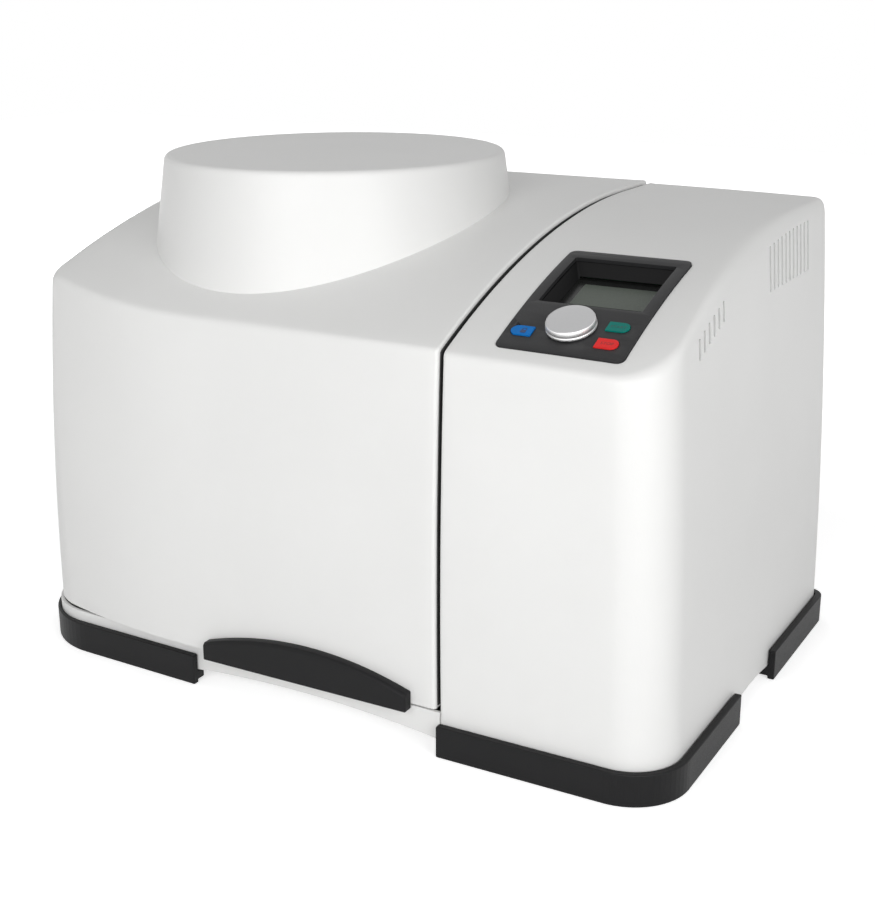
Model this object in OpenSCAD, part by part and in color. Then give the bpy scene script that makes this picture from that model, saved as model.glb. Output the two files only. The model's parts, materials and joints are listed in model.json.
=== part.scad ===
// Single station planetary ball mill for the bench.
// X runs to the right, Y to the back and Z up. The origin is on the table, under the middle.

/* [Overall] */
// Width over the corner feet
overall_w = 630; // [600:1:680]
// Depth over the corner feet
overall_d = 415; // [395:1:450]
// How far the corner feet stand proud of the casing
skirt_out = 7; // [6:0.5:10]
// Wall of the outer casings
casing_wall = 3.5; // [2.5:0.1:4]

/* [Casing shape] */
// Height of the flat rear part of the top
flat_z = 399.4; // [390:0.1:415]
// Radius of the arc that the top falls on towards the front
top_arc_r = 728; // [650:1:900]
// Where the arc starts, from the back
top_arc_in = 72.5; // [60:0.5:90]
// How far the belly of the front stands past the foot of the casing
belly_out = 1.3; // [0.5:0.1:2]
// Height of the fullest line of the front
belly_z = 125; // [100:1:150]
// Radius of the belly, seen from the side
belly_r = 3700; // [3000:10:6000]
// Slope of the tower's side wall at its foot, run over rise
side_lean = 0.018; // [0.01:0.001:0.04]
// Slope of the hood's side wall at its foot, run over rise
hood_lean = 0.066; // [0.04:0.001:0.08]
// Radius of the bow of the side walls, seen from the front
side_bow_r = 5350; // [4500:10:8000]
// Height where the side walls start to lean in
lean_z = 30; // [27:1:36]
// Plan radius of the front right corner
front_right_r = 42; // [30:1:50]
// Plan radius of the front left corner of the hood, at its lower edge
front_left_r = 60; // [50:1:72]
// Plan radius of the same corner at the top of the wall
front_left_top_r = 20; // [16:1:40]
// Height where that corner reaches its upper radius
corner_top_z = 335; // [300:1:345]
// Plan radius of the two rear corners
rear_corner_r = 9; // [9:0.5:14]
// Rounding of the front top edge
front_edge_r = 4.5; // [4:0.1:8]
// Rounding of the outer side top edges
side_edge_r = 15; // [8:0.5:18]
// Rounding of the rear top edge
rear_edge_r = 9; // [6:0.5:10]
// Rounding of the edges along the seam
seam_edge_r = 3; // [2:0.1:4]

/* [Hood] */
// Middle of the seam between the hood and the control tower
seam_x = 123.4; // [115:0.1:132]
// Width of that seam
seam_gap = 3.8; // [3:0.1:5]
// Height of the lower edge of the hood
hood_bottom = 37.5; // [37:0.1:42]
// Where the sweep of the left part of the front starts
sweep_x = -110; // [-130:1:-80]
// Plan radius of that sweep
sweep_r = 650; // [550:5:900]
// Thickness of the sound liner in the hood
liner_t = 5; // [3:0.5:7]
// Height where the sound liner starts
liner_z = 186; // [182:1:230]
// Gap between the hood and the rear cover
rear_gap = 1.5; // [1:0.1:2]
// Depth of the rear cover
rear_cover_d = 35; // [33.5:0.5:38.5]
// Height of the top of the rear cover
rear_cover_top = 370; // [350:1:374]

/* [Dome] */
// Radius of the dome across the mill, at its top
dome_rx = 143.7; // [141:0.1:150]
// Radius of the dome from front to back, at its top
dome_ry = 155.8; // [150:0.1:160]
// Height of the flat top of the dome
dome_top = 434.5; // [428:0.1:450]
// How much the dome widens downwards, run over rise
dome_taper = 0.143; // [0.08:0.001:0.18]
// Rounding of the rim of the dome
dome_edge_r = 5; // [4:0.1:8]

/* [Handle] */
// Length of the grip on the hood
handle_len = 196; // [160:1:210]
// Middle of the grip along the front
handle_x = 2; // [-8:1:12]
// Height of the underside of the grip
handle_low = 33.5; // [32:0.5:35]
// Height of the top of its bow
handle_high = 64.5; // [58:0.5:72]
// Height of its square ends
handle_end = 15; // [12:0.5:18]
// How far it stands proud of the hood
handle_out = 9; // [7:0.5:12]

/* [Base and feet] */
// Angle that the front of the base turns back towards the left
base_turn = 2.0; // [1.5:0.1:3]
// Plan radius of the front left corner of the base
base_left_r = 60; // [54:1:66]
// Height of the lower edge of the base
base_low = 12; // [11:0.1:13]
// Gap between the base and the hood
base_gap = 2; // [1:0.1:2.5]
// Rise of the arches in the lower edge of the base
arch_rise = 6.5; // [4:0.5:6.5]
// Wall of the base tray
tray_wall = 3; // [2:0.1:4]
// Height of the top of the floor of the tray
tray_floor = 22; // [21.5:0.1:23]
// Thickness of the steel base plate
plate_t = 6; // [4:0.5:8]
// Height of the top of the corner feet
foot_h = 27; // [24:0.5:29]
// Thickness of their skirts
skirt_t = 6; // [4:0.1:6.2]
// Height of the rubber pads
pad_h = 3; // [2.5:0.1:3.2]
// Radius of the rubber pads
pad_r = 18; // [12:1:20]

/* [Control panel] */
// Width of the panel
panel_w = 99; // [95:1:104]
// Length of the panel along the slope
panel_l = 142; // [138:1:146]
// Middle of the panel, from the right side of the casing
panel_in_x = 99; // [96:1:102]
// Middle of the panel, from the front of the casing
panel_in_y = 84.3; // [82.8:0.5:86.8]
// Thickness of the panel
panel_t = 3; // [2.5:0.1:3.3]
// How far the panel stands proud of the tower
panel_out = 0.6; // [0.3:0.1:1]
// Width of the window recess
window_w = 82; // [76:1:84]
// Length of the window recess
window_l = 70; // [64:1:71]
// Depth of the window recess
window_depth = 9; // [6:0.5:12]
// Width of the display glass
glass_w = 66; // [60:1:68]
// Length of the display glass
glass_l = 38; // [34:1:42]
// Radius of the control knob
knob_r = 18.6; // [16:0.1:20]
// Height of the control knob
knob_h = 9; // [7:0.5:12]
// Length of a button
button_w = 16.8; // [15:0.1:20]
// Width of a button
button_l = 10.8; // [9:0.1:12]
// Travel of a button
button_travel = 0.8; // [0.5:0.1:0.9]

/* [Drive] */
// Middle of the mill, across
sun_x = -92; // [-96:1:-88]
// Middle of the mill, from front to back
sun_y = 5; // [0:1:8]
// Distance from the sun shaft to the jar spindle
orbit_r = 70.5; // [68:0.5:71]
// Radius of the sun wheel
wheel_r = 132; // [130:1:134]
// Thickness of the sun wheel
wheel_t = 12; // [10:0.5:14]
// Radius of the sun shaft
shaft_r = 17.5; // [15:0.5:18]
// Radius of the sun pulley
sun_pulley_r = 70; // [60:1:74]
// Radius of the motor pulley
motor_pulley_r = 35; // [28:1:36]
// Radius of the fixed toothed pulley
fixed_pulley_r = 30; // [28:0.5:32]
// Radius of the pulley on the jar spindle
planet_pulley_r = 15; // [14:0.5:16]
// Radius of the motor
motor_r = 66; // [55:1:68]
// Height of the motor
motor_h = 176; // [150:1:190]
// Radial running fit of shafts in bearings
running_fit = 0.05; // [0.02:0.01:0.1]
// Clear space between parts that pass each other
pass_gap = 0.4; // [0.3:0.05:0.5]

/* [Jar and clamp] */
// Outer radius of the grinding jar
jar_r = 56; // [52:0.5:57]
// Height of the grinding jar
jar_h = 76; // [70:1:78]
// Wall of the grinding jar
jar_wall = 6; // [4:0.5:8]
// Thickness of the lid
lid_t = 13; // [10:0.5:14]
// Radius of a grinding ball
ball_r = 10; // [5:0.5:11]
// Thickness of the clamp bridge
bridge_t = 16; // [12:0.5:18]
// Radius of the hand wheel
hand_wheel_r = 34; // [26:1:36]
// Radius of the clamp spindle
spindle_r = 8; // [6:0.5:9]
// Width of the balance weight
weight_w = 96; // [80:1:100]
// Height of the balance weight
weight_h = 46; // [30:1:50]

/* [Vents and rear] */
// Number of long vent slots
long_vents = 11; // [5:1:12]
// Number of short vent slots
short_vents = 6; // [2:1:7]
// Pitch of the vent slots
vent_pitch = 10.4; // [9:0.1:10.6]
// Width of a vent slot
vent_w = 4.2; // [3:0.1:4.5]
// Side of the square fan
fan_w = 92; // [80:1:92]
// Depth of the fan
fan_d = 25; // [20:1:28]

/* [Hidden] */
$fn = 64;

// Paint and material colours
white = [0.90, 0.90, 0.89];
black = [0.13, 0.13, 0.13];
steel = [0.68, 0.69, 0.70];
zinc = [0.55, 0.56, 0.58];

// Casing limits at the foot
body_x = overall_w / 2 - skirt_out;
body_y = overall_d / 2 - skirt_out;
front_y = body_y + belly_out;
top_arc_y = body_y - top_arc_in;
rear_cover_y = body_y - rear_cover_d;
panel_x = body_x - panel_in_x;
panel_y = panel_in_y - front_y;
hood_right = seam_x - seam_gap / 2;
tower_left = seam_x + seam_gap / 2;
tower_step = 2;
tower_crown = 2.5;
base_top = hood_bottom - base_gap;
edge_rows = 4;

// Height of the top surface, by side: 0 is the hood and 1 is the tower
function arc_z(y) =
    y >= top_arc_y ? flat_z : flat_z - top_arc_r + sqrt(pow(top_arc_r, 2) - pow(y - top_arc_y, 2));
function top_at(x, y, side) =
    arc_z(y) - side * (tower_step + tower_crown * pow((x - tower_left) / (body_x - tower_left), 2));

// How far the walls have moved inwards at a height
function lean(z, slope) =
    slope * max(0, z - lean_z) + pow(max(0, z - lean_z), 2) / (2 * side_bow_r);
function belly(z) = pow(z - belly_z, 2) / (2 * belly_r);
function side_move(x, z, side) =
    side == 1 ? -lean(z, side_lean) * (x - tower_left) / (body_x - tower_left)
    : lean(z, hood_lean) * max(0, (sun_x - x) / (sun_x + body_x));
function squared(p, z) =
    let (t = min(1, max(0, (z - hood_bottom) / (corner_top_z - hood_bottom))))
    [p.x + (p[3] - p.x) * t, p.y + (p[4] - p.y) * t];
function wall_at(p, z, side) =
    let (q = side == 1 ? p : squared(p, z))
    [q.x + side_move(q.x, z, side), q.y + belly(z) * max(0, -q.y / front_y), z];
function edge_z(p, side, inset, turns = 6, z = 380) =
    turns == 0 ? z
    : edge_z(p, side, inset, turns - 1,
             top_at(wall_at(p, z, side).x, wall_at(p, z, side).y, side) - inset);

// Outline points hold x, y and the radius of the top edge there. Those of the hood also hold
// the x and y that the point has moved to at the top of the wall
function corner(x, y, sx, sy, r, a0, steps, e0, e1) =
    [for (k = [0:steps]) let (a = a0 + 90 * k / steps)
        [x - sx * r + r * cos(a), y - sy * r + r * sin(a), e0 + (e1 - e0) * k / steps]];
function between(p, q, steps) = [for (k = [1:steps - 1]) p + (q - p) * k / steps];
function last(list) = list[len(list) - 1];
function joined(parts, gaps) =
    [for (k = [0:len(parts) - 1])
        each concat(parts[k], between(last(parts[k]), parts[(k + 1) % len(parts)][0], gaps[k]))];
function small_r(inset) = max(seam_edge_r - inset, 0.6);
function rear_r(inset) = max(rear_corner_r - inset, 0.6);

function tower_outline(inset) = joined(
    [corner(tower_left + inset, inset - front_y, -1, -1, small_r(inset), 180, 2,
            seam_edge_r, front_edge_r),
     corner(body_x - inset, inset - front_y, 1, -1, front_right_r - inset, -90, 8,
            front_edge_r, side_edge_r),
     corner(body_x - inset, body_y - inset, 1, 1, rear_r(inset), 0, 5,
            side_edge_r, rear_edge_r),
     corner(tower_left + inset, body_y - inset, -1, 1, small_r(inset), 90, 2,
            rear_edge_r, seam_edge_r)],
    [4, 7, 4, 6]);

function sweep_angle(left_r) = asin((sweep_x + body_x - left_r) / (sweep_r - left_r));
function hood_left_corner(inset, left_r) =
    let (r = left_r - inset, cx = left_r - body_x, turn = sweep_angle(left_r),
         cy = sweep_r - front_y - (sweep_r - left_r) * cos(turn))
    [for (k = [0:7]) let (a = 180 + (90 - turn) * k / 7)
        [cx + r * cos(a), cy + r * sin(a), side_edge_r + (front_edge_r - side_edge_r) * k / 7]];
function hood_sweep(inset, left_r) =
    [for (k = [1:5]) let (a = 270 - sweep_angle(left_r) * (1 - k / 5), r = sweep_r - inset)
        [sweep_x + r * cos(a), sweep_r - front_y + r * sin(a), front_edge_r]];
function hood_plan(inset, left_r) = joined(
    [corner(hood_right - inset, inset - front_y, 1, -1, small_r(inset), -90, 2,
            front_edge_r, seam_edge_r),
     corner(hood_right - inset, body_y - inset, 1, 1, small_r(inset), 0, 2,
            seam_edge_r, rear_edge_r),
     corner(inset - body_x, body_y - inset, -1, 1, rear_r(inset), 90, 5,
            rear_edge_r, side_edge_r),
     concat(hood_left_corner(inset, left_r), hood_sweep(inset, left_r))],
    [6, 6, 6, 5]);
function hood_outline(inset) =
    let (low = hood_plan(inset, front_left_r), high = hood_plan(inset, front_left_top_r))
    [for (k = [0:len(low) - 1]) [low[k].x, low[k].y, low[k][2], high[k].x, high[k].y]];

// Rings of a shell surface, from its foot up over the edge to the middle
function bezier(a, b, c, t) = a * pow(1 - t, 2) + b * 2 * t * (1 - t) + c * pow(t, 2);
function inward(p, mid, d) = p + (mid - p) * d / norm(mid - p);
function flat(p) = [p.x, p.y];
function edge_point(p, mid, side, inset, t) =
    let (r = max(p[2] - inset, 1), ze = edge_z(p, side, inset),
         a = wall_at(p, ze - r, side), b = wall_at(p, ze, side), q = inward(flat(b), mid, r))
    bezier(a, b, [q.x, q.y, top_at(q.x, q.y, side) - inset], t);
function wall_ring(outline, side, inset, z0, mid, t) =
    [for (p = outline) wall_at(p, z0 + (edge_point(p, mid, side, inset, 0).z - z0) * t, side)];
function edge_ring(outline, side, inset, mid, t) =
    [for (p = outline) edge_point(p, mid, side, inset, t)];
function top_ring(outline, side, inset, mid, t) =
    [for (p = outline) let (e = flat(edge_point(p, mid, side, inset, 1)), q = e + (mid - e) * t)
        [q.x, q.y, top_at(q.x, q.y, side) - inset]];

// The dome is an oval cone around the mill's axis
function oval(u, z, inset) =
    let (grow = (dome_top - z) * dome_taper - inset)
    1 / norm([u.x / (dome_rx + grow), u.y / (dome_ry + grow)]);
function dome_foot(u, inset, turns = 5, z = 380) =
    turns == 0 ? z : dome_foot(u, inset, turns - 1, arc_z(sun_y + u.y * oval(u, z, inset)) - inset);
function heading(p, mid) = (flat(p) - mid) / norm(flat(p) - mid);
function dome_at(u, z, inset) =
    [sun_x + u.x * oval(u, z, inset), sun_y + u.y * oval(u, z, inset), z];
function shoulder_ring(outline, inset, mid, t) =
    [for (p = outline)
        let (e = edge_point(p, mid, 0, inset, 1), u = heading(e, mid),
             f = dome_at(u, dome_foot(u, inset), inset), q = flat(e) + (flat(f) - flat(e)) * t)
        [q.x, q.y, arc_z(q.y) - inset]];
function dome_ring(outline, inset, mid, t) =
    [for (p = outline)
        let (u = heading(wall_at(p, 380, 0), mid), z0 = dome_foot(u, inset),
             z1 = dome_top - inset - max(dome_edge_r - inset, 1))
        dome_at(u, z0 + (z1 - z0) * t, inset)];
function rim_ring(outline, inset, mid, t) =
    [for (p = outline)
        let (u = heading(wall_at(p, 380, 0), mid), r = max(dome_edge_r - inset, 1),
             top = dome_top - inset, a = dome_at(u, top - r, inset), b = dome_at(u, top, inset),
             q = flat(b) - u * r)
        bezier(a, b, [q.x, q.y, top], t)];

sun_axis = [sun_x, sun_y];
tower_mid = [(tower_left + body_x) / 2, 0];

function hood_rings(inset, z0, walls) =
    let (o = hood_outline(inset), m = sun_axis)
    concat([for (k = [0:walls - 1]) wall_ring(o, 0, inset, z0, m, k / walls)],
           [for (k = [0:edge_rows]) edge_ring(o, 0, inset, m, k / edge_rows)],
           [for (t = [0.35, 0.7, 1]) shoulder_ring(o, inset, m, t)],
           [for (t = [0.5, 1]) dome_ring(o, inset, m, t)],
           [for (t = [0.35, 0.7, 1]) rim_ring(o, inset, m, t)]);
function tower_rings(inset, z0, walls) =
    let (o = tower_outline(inset), m = tower_mid)
    concat([for (k = [0:walls - 1]) wall_ring(o, 1, inset, z0, m, k / walls)],
           [for (k = [0:edge_rows]) edge_ring(o, 1, inset, m, k / edge_rows)],
           [for (t = [0.25, 0.5, 0.75, 0.94]) top_ring(o, 1, inset, m, t)]);

// A closed skin over a list of rings, with a fan over each end
module skin(rings) {
    n = len(rings[0]);
    rows = len(rings);
    first_mid = [for (i = [0:2]) [for (p = rings[0]) p[i]] * [for (p = rings[0]) 1] / n];
    last_mid = [for (i = [0:2]) [for (p = rings[rows - 1]) p[i]] * [for (p = rings[0]) 1] / n];
    points = concat([for (r = rings) each r], [first_mid, last_mid]);
    function at(row, k) = row * n + k % n;
    polyhedron(
        points,
        concat([for (r = [0:rows - 2], k = [0:n - 1]) [at(r, k), at(r + 1, k), at(r + 1, k + 1)]],
               [for (r = [0:rows - 2], k = [0:n - 1]) [at(r, k), at(r + 1, k + 1), at(r, k + 1)]],
               [for (k = [0:n - 1]) [rows * n, at(0, k), at(0, k + 1)]],
               [for (k = [0:n - 1]) [rows * n + 1, at(rows - 1, k + 1), at(rows - 1, k)]]));
}
function reversed(list) = [for (k = [len(list) - 1:-1:0]) list[k]];
module shell(outer, inner) skin(concat(reversed(inner), outer));

module block(x, y, z) {
    translate([x[0], y[0], z[0]]) cube([x[1] - x[0], y[1] - y[0], z[1] - z[0]]);
}
module disc(r, z, x = 0, y = 0) {
    translate([x, y, z[0]]) cylinder(r = r, h = z[1] - z[0]);
}
module rounded(x, y, r) {
    polygon([for (c = [[1, -1, -90], [1, 1, 0], [-1, 1, 90], [-1, -1, 180]])
        each [for (p = corner(c[0] > 0 ? x[1] : x[0], c[1] > 0 ? y[1] : y[0], c[0], c[1],
                              r, c[2], 6, 0, 0)) flat(p)]]);
}

// Plan of the base, grown by an offset
base_line = tan(base_turn);
function base_front(x) = -body_y + max(0, tower_left - x) * base_line;
function base_plan(o) =
    let (r = base_left_r + o * (o > 0 ? 2.3 : 1), cx = r - body_x - o,
         cy = base_front(cx) + (r - o) / cos(base_turn))
    concat(
        [for (p = corner(body_x + o, -body_y - o, 1, -1, front_right_r + o, -90, 16, 0, 0)) flat(p)],
        [for (p = corner(body_x + o, body_y + o, 1, 1, rear_corner_r + o, 0, 14, 0, 0)) flat(p)],
        [for (p = corner(-body_x - o, body_y + o, -1, 1, rear_corner_r + o, 90, 14, 0, 0)) flat(p)],
        [for (k = [0:20]) let (a = 180 + (90 - base_turn) * k / 20)
            [cx + r * cos(a), cy + r * sin(a)]],
        [[tower_left, -body_y - o]]);

// Arch cut into the lower edge between two feet, along one direction
foot_front_x = 125.5;
foot_left_x = -116;
foot_side_y = -39;
foot_back_y = 51.5;
foot_back_x = 150;
side_rise = arch_rise / 2;
function arch_radius(span, rise) = (pow(span / 2, 2) + pow(rise, 2)) / (2 * rise);
module arch_y(from, to) {
    r = arch_radius(to - from, arch_rise);
    translate([(from + to) / 2, 0, base_low + arch_rise - r])
        rotate([90, 0, 0]) cylinder(r = r, h = overall_d, center = true, $fn = 180);
}
module arch_x(from, to) {
    r = arch_radius(to - from, side_rise);
    translate([0, (from + to) / 2, base_low + side_rise - r])
        rotate([0, 90, 0]) cylinder(r = r, h = overall_w * 2, center = true, $fn = 180);
}

// Base

tray_end = tower_left - 0.2;
plate_z = [tray_floor, tray_floor + plate_t];
plate_inset = tray_wall + 3;
module base_tray() {
    color(white)
        intersection() {
            difference() {
                translate([0, 0, base_low]) linear_extrude(base_top - base_low)
                    polygon(base_plan(0));
                translate([0, 0, tray_floor]) linear_extrude(base_top)
                    polygon(base_plan(-tray_wall));
                translate([0, 0, -1]) linear_extrude(tray_under + 1)
                    polygon(base_plan(-tray_wall));
                arch_y(foot_left_x, foot_front_x);
                arch_x(foot_side_y, foot_back_y);
            }
            block([-overall_w, tray_end], [-overall_d, overall_d], [0, base_top]);
        }
}

module base_plate() {
    color(zinc)
        difference() {
            translate([0, 0, plate_z[0]]) linear_extrude(plate_t)
                polygon(base_plan(-plate_inset));
            disc(shaft_r + 6, [0, 60], sun_x, sun_y);
        }
}

// One corner foot: a skirt outside the casing, a web under its edge and a block inside it
web_z = [pad_h, base_low - pass_gap];
block_side = 44;
web_in = 7;
module foot(x, y, sx, sy, top) {
    skirt_x = sx > 0 ? [x, overall_w] : [-overall_w, x];
    skirt_y = sy > 0 ? [y, overall_d] : [-overall_d, y];
    px = pad_x(sx);
    py = pad_y(sy);
    color(black) {
        intersection() {
            translate([0, 0, 0.3]) linear_extrude(foot_h - 0.3)
                difference() {
                    polygon(base_plan(skirt_out));
                    polygon(base_plan(skirt_out - skirt_t));
                }
            block(skirt_x, skirt_y, [0, foot_h]);
        }
        intersection() {
            translate([0, 0, web_z[0]]) linear_extrude(web_z[1] - web_z[0])
                difference() {
                    polygon(base_plan(skirt_out - skirt_t / 2));
                    polygon(base_plan(-web_in));
                }
            block(skirt_x, skirt_y, [0, foot_h]);
        }
        intersection() {
            block([px - block_side / 2, px + block_side], [py - block_side, py + block_side],
                  web_z);
            block([px - block_side, px + block_side / 2], [py - block_side, py + block_side],
                  web_z);
            translate([0, 0, web_z[0]]) linear_extrude(foot_h) polygon(base_plan(-1));
        }
        intersection() {
            block([px - block_side / 2, px + block_side / 2],
                  [py - block_side / 2, py + block_side / 2], [web_z[0], top]);
            translate([0, 0, web_z[0]]) linear_extrude(foot_h)
                polygon(base_plan(-tray_wall - pass_gap));
        }
    }
}
function pad_x(sx) = sx * (body_x - 46);
function pad_y(sy) = sy * (body_y - 46);
tray_under = tray_floor - tray_wall;
module foot_front_right() foot(foot_front_x, foot_side_y, 1, -1, plate_z[0]);
module foot_rear_right() foot(foot_back_x, foot_back_y, 1, 1, plate_z[0]);
module foot_rear_left() foot(-foot_back_x, foot_back_y, -1, 1, tray_under);
module foot_front_left() foot(foot_left_x, foot_side_y, -1, -1, tray_under);
module foot_pads() {
    color([0.2, 0.2, 0.2])
        for (sx = [-1, 1], sy = [-1, 1]) disc(pad_r, [0, pad_h], pad_x(sx), pad_y(sy));
}

// Control tower

// Places its children on the slope of the tower: x across, s along the arc from the panel's middle
panel_angle = asin((top_arc_y - panel_y) / top_arc_r);
module on_slope(x, s = 0) {
    translate([0, top_arc_y, flat_z - tower_step - top_arc_r])
        rotate([panel_angle - s / top_arc_r * 180 / PI, 0, 0])
            translate([x, 0, top_arc_r]) children();
}
// A plate that follows the slope, between two heights over it
module slope_band(x, low, high) {
    translate([x[0], top_arc_y, flat_z - tower_step - top_arc_r]) rotate([0, 90, 0])
        linear_extrude(x[1] - x[0])
            difference() {
                circle(r = top_arc_r + high, $fn = 360);
                circle(r = top_arc_r + low, $fn = 360);
            }
}
panel_fit = 0.4;
// Slots follow the slope of the top, so the short ones step up one by one
long_vent_y = body_y - 164.5;
long_vent_z = [341, 383];
short_vent_y = 73.8 - front_y;
short_vent_h = 15.5;
short_vent_drop = 15.8;
module vent_slot(y, z) {
    translate([0, y, 0]) block([body_x - 60, body_x + 10], [-vent_w / 2, vent_w / 2], z);
}
// Opening in the back of the tower for the rear panel
rear_x = [body_x - 158, body_x - 58];
rear_z = [66, 356];
latch_y = 66.8 - front_y;
latch_z = 75;
bolt_r = 6;
belt_window_y = [-100, 120];
belt_window_top = 84;
belt_notch_y = [-66, rear_cover_y + 1];
belt_notch_top = 74;
module tower_shell() {
    color(white)
        difference() {
            shell(tower_rings(0, base_low, 6), tower_rings(casing_wall, base_low, 4));
            intersection() {
                slope_band([panel_x - panel_w / 2 - panel_fit, panel_x + panel_w / 2 + panel_fit],
                           -30, 40);
                on_slope(panel_x) translate([0, 0, -40]) linear_extrude(80)
                    rounded([-panel_w / 2 - panel_fit, panel_w / 2 + panel_fit],
                            [-panel_l / 2 - panel_fit, panel_l / 2 + panel_fit], 6);
            }
            for (k = [0:long_vents - 1])
                let (y = long_vent_y + k * vent_pitch)
                    vent_slot(y, [long_vent_z[0], long_vent_z[1] - (flat_z - arc_z(y))]);
            for (k = [0:short_vents - 1])
                let (y = short_vent_y + k * vent_pitch,
                     high = arc_z(y) - short_vent_drop)
                    vent_slot(y, [high - short_vent_h, high]);
            block(rear_x, [body_y - casing_wall - 1, body_y + 1], rear_z);
            block([tower_left - 1, tower_left + casing_wall + 3], belt_window_y,
                  [0, belt_window_top]);
            block([tower_left - 1, tower_left + casing_wall + 3],
                  [-body_y + plate_inset - 1, body_y - plate_inset + 1],
                  [0, plate_z[1] + pass_gap]);
            arch_x(foot_side_y, foot_back_y);
            translate([tower_left - 1, latch_y, latch_z]) rotate([0, 90, 0])
                cylinder(r = bolt_r + pass_gap, h = casing_wall + 2);
        }
}

// The cut that leaves the back of the hood open
module rear_region(y, z) {
    block([-overall_w, seam_x], [y, overall_d], [0, z]);
}
module hood_skin(inset_out, inset_in, z0, walls_out, walls_in) {
    shell(hood_rings(inset_out, z0, walls_out), hood_rings(inset_in, z0, walls_in));
}
module rear_cover() {
    color(white)
        intersection() {
            hood_skin(0, casing_wall, hood_bottom, 6, 4);
            rear_region(rear_cover_y, rear_cover_top);
        }
}

// Rear panel of the tower with the power entry and the fan
panel_lap = 8;
rear_t = 2;
rear_panel_y = [body_y - casing_wall - rear_t, body_y - casing_wall];
entry_x = rear_x[0] + 38;
entry_z = 112;
entry_w = 52;
entry_h = 84;
fan_x = (rear_x[0] + rear_x[1]) / 2;
fan_z = rear_z[1] - fan_w / 2 - 4;
module rear_panel() {
    color(zinc)
        difference() {
            block([rear_x[0] - panel_lap, rear_x[1] + panel_lap], rear_panel_y,
                  [rear_z[0] - panel_lap, rear_z[1] + panel_lap]);
            block([entry_x - entry_w / 2 - 0.2, entry_x + entry_w / 2 + 0.2], [0, overall_d],
                  [entry_z - entry_h / 2 - 0.2, entry_z + entry_h / 2 + 0.2]);
            for (k = [-3:3])
                let (half = sqrt(pow(fan_w * 0.44, 2) - pow(k * 11, 2)))
                    block([fan_x - half, fan_x + half], [0, overall_d],
                          [fan_z + k * 11 - 3, fan_z + k * 11 + 3]);
        }
}

// Power entry: a flanged module with the inlet, the fuse drawer and the switch well
inlet_z = entry_z - 24;
fuse_z = entry_z + 2;
switch_z = entry_z + 26;
entry_depth = 30;
entry_flange = [rear_panel_y[1], rear_panel_y[1] + 2.5];
fuse_w = 26;
fuse_h = 12;
switch_w = 26;
switch_h = 20;
module power_entry() {
    color(black)
        difference() {
            union() {
                block([entry_x - entry_w / 2, entry_x + entry_w / 2],
                      [rear_panel_y[1] - entry_depth, rear_panel_y[1]],
                      [entry_z - entry_h / 2, entry_z + entry_h / 2]);
                block([entry_x - entry_w / 2 - 3, entry_x + entry_w / 2 + 3], entry_flange,
                      [entry_z - entry_h / 2 - 3, entry_z + entry_h / 2 + 3]);
            }
            block([entry_x - 12, entry_x + 12], [entry_flange[1] - 18, overall_d],
                  [inlet_z - 8, inlet_z + 8]);
            block([entry_x - fuse_w / 2 - pass_gap, entry_x + fuse_w / 2 + pass_gap],
                  [entry_flange[1] - 24, overall_d],
                  [fuse_z - fuse_h / 2 - pass_gap, fuse_z + fuse_h / 2 + pass_gap]);
            block([entry_x - switch_w / 2 - pass_gap, entry_x + switch_w / 2 + pass_gap],
                  [entry_flange[1] - 16, overall_d],
                  [switch_z - switch_h / 2 - 1, switch_z + switch_h / 2 + 1]);
            along_x(pivot_r + running_fit, [entry_x - switch_w / 2 - 3, entry_x + switch_w / 2 + 3],
                    switch_pivot_y, switch_z);
        }
    color(steel)
        for (d = [[-7, -2], [0, 3], [7, -2]])
            block([entry_x + d[0] - 1, entry_x + d[0] + 1],
                  [entry_flange[1] - 18, entry_flange[1] - 6],
                  [inlet_z + d[1] - 2, inlet_z + d[1] + 2]);
}
module fuse_drawer() {
    color([0.2, 0.2, 0.21]) {
        block([entry_x - fuse_w / 2, entry_x + fuse_w / 2],
              [entry_flange[1] - 22, entry_flange[1] - 0.5],
              [fuse_z - fuse_h / 2, fuse_z + fuse_h / 2]);
        block([entry_x - fuse_w / 2 - 1, entry_x + fuse_w / 2 + 1],
              [entry_flange[1] + 0.3, entry_flange[1] + 2],
              [fuse_z - fuse_h / 2 - 1, fuse_z + fuse_h / 2 + 1]);
        block([entry_x - 5, entry_x + 5], [entry_flange[1] - 1, entry_flange[1] + 3.5],
              [fuse_z - 2, fuse_z + 2]);
    }
}
switch_pivot_y = entry_flange[1] - 3;
switch_tilt = 8;
pivot_r = 2.4;
module power_switch() {
    color([0.1, 0.45, 0.2])
        translate([entry_x - switch_w / 2, switch_pivot_y, switch_z]) rotate([-switch_tilt, 0, 0])
            rotate([0, 90, 0]) rotate([0, 0, 90]) linear_extrude(switch_w)
                polygon([[-5, -7], [4, -8.5], [2.6, 0], [4, 8.5], [-5, 7]]);
    color([0.1, 0.45, 0.2])
        along_x(pivot_r, [entry_x - switch_w / 2 - 2, entry_x + switch_w / 2 + 2], switch_pivot_y,
                switch_z);
}

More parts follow.
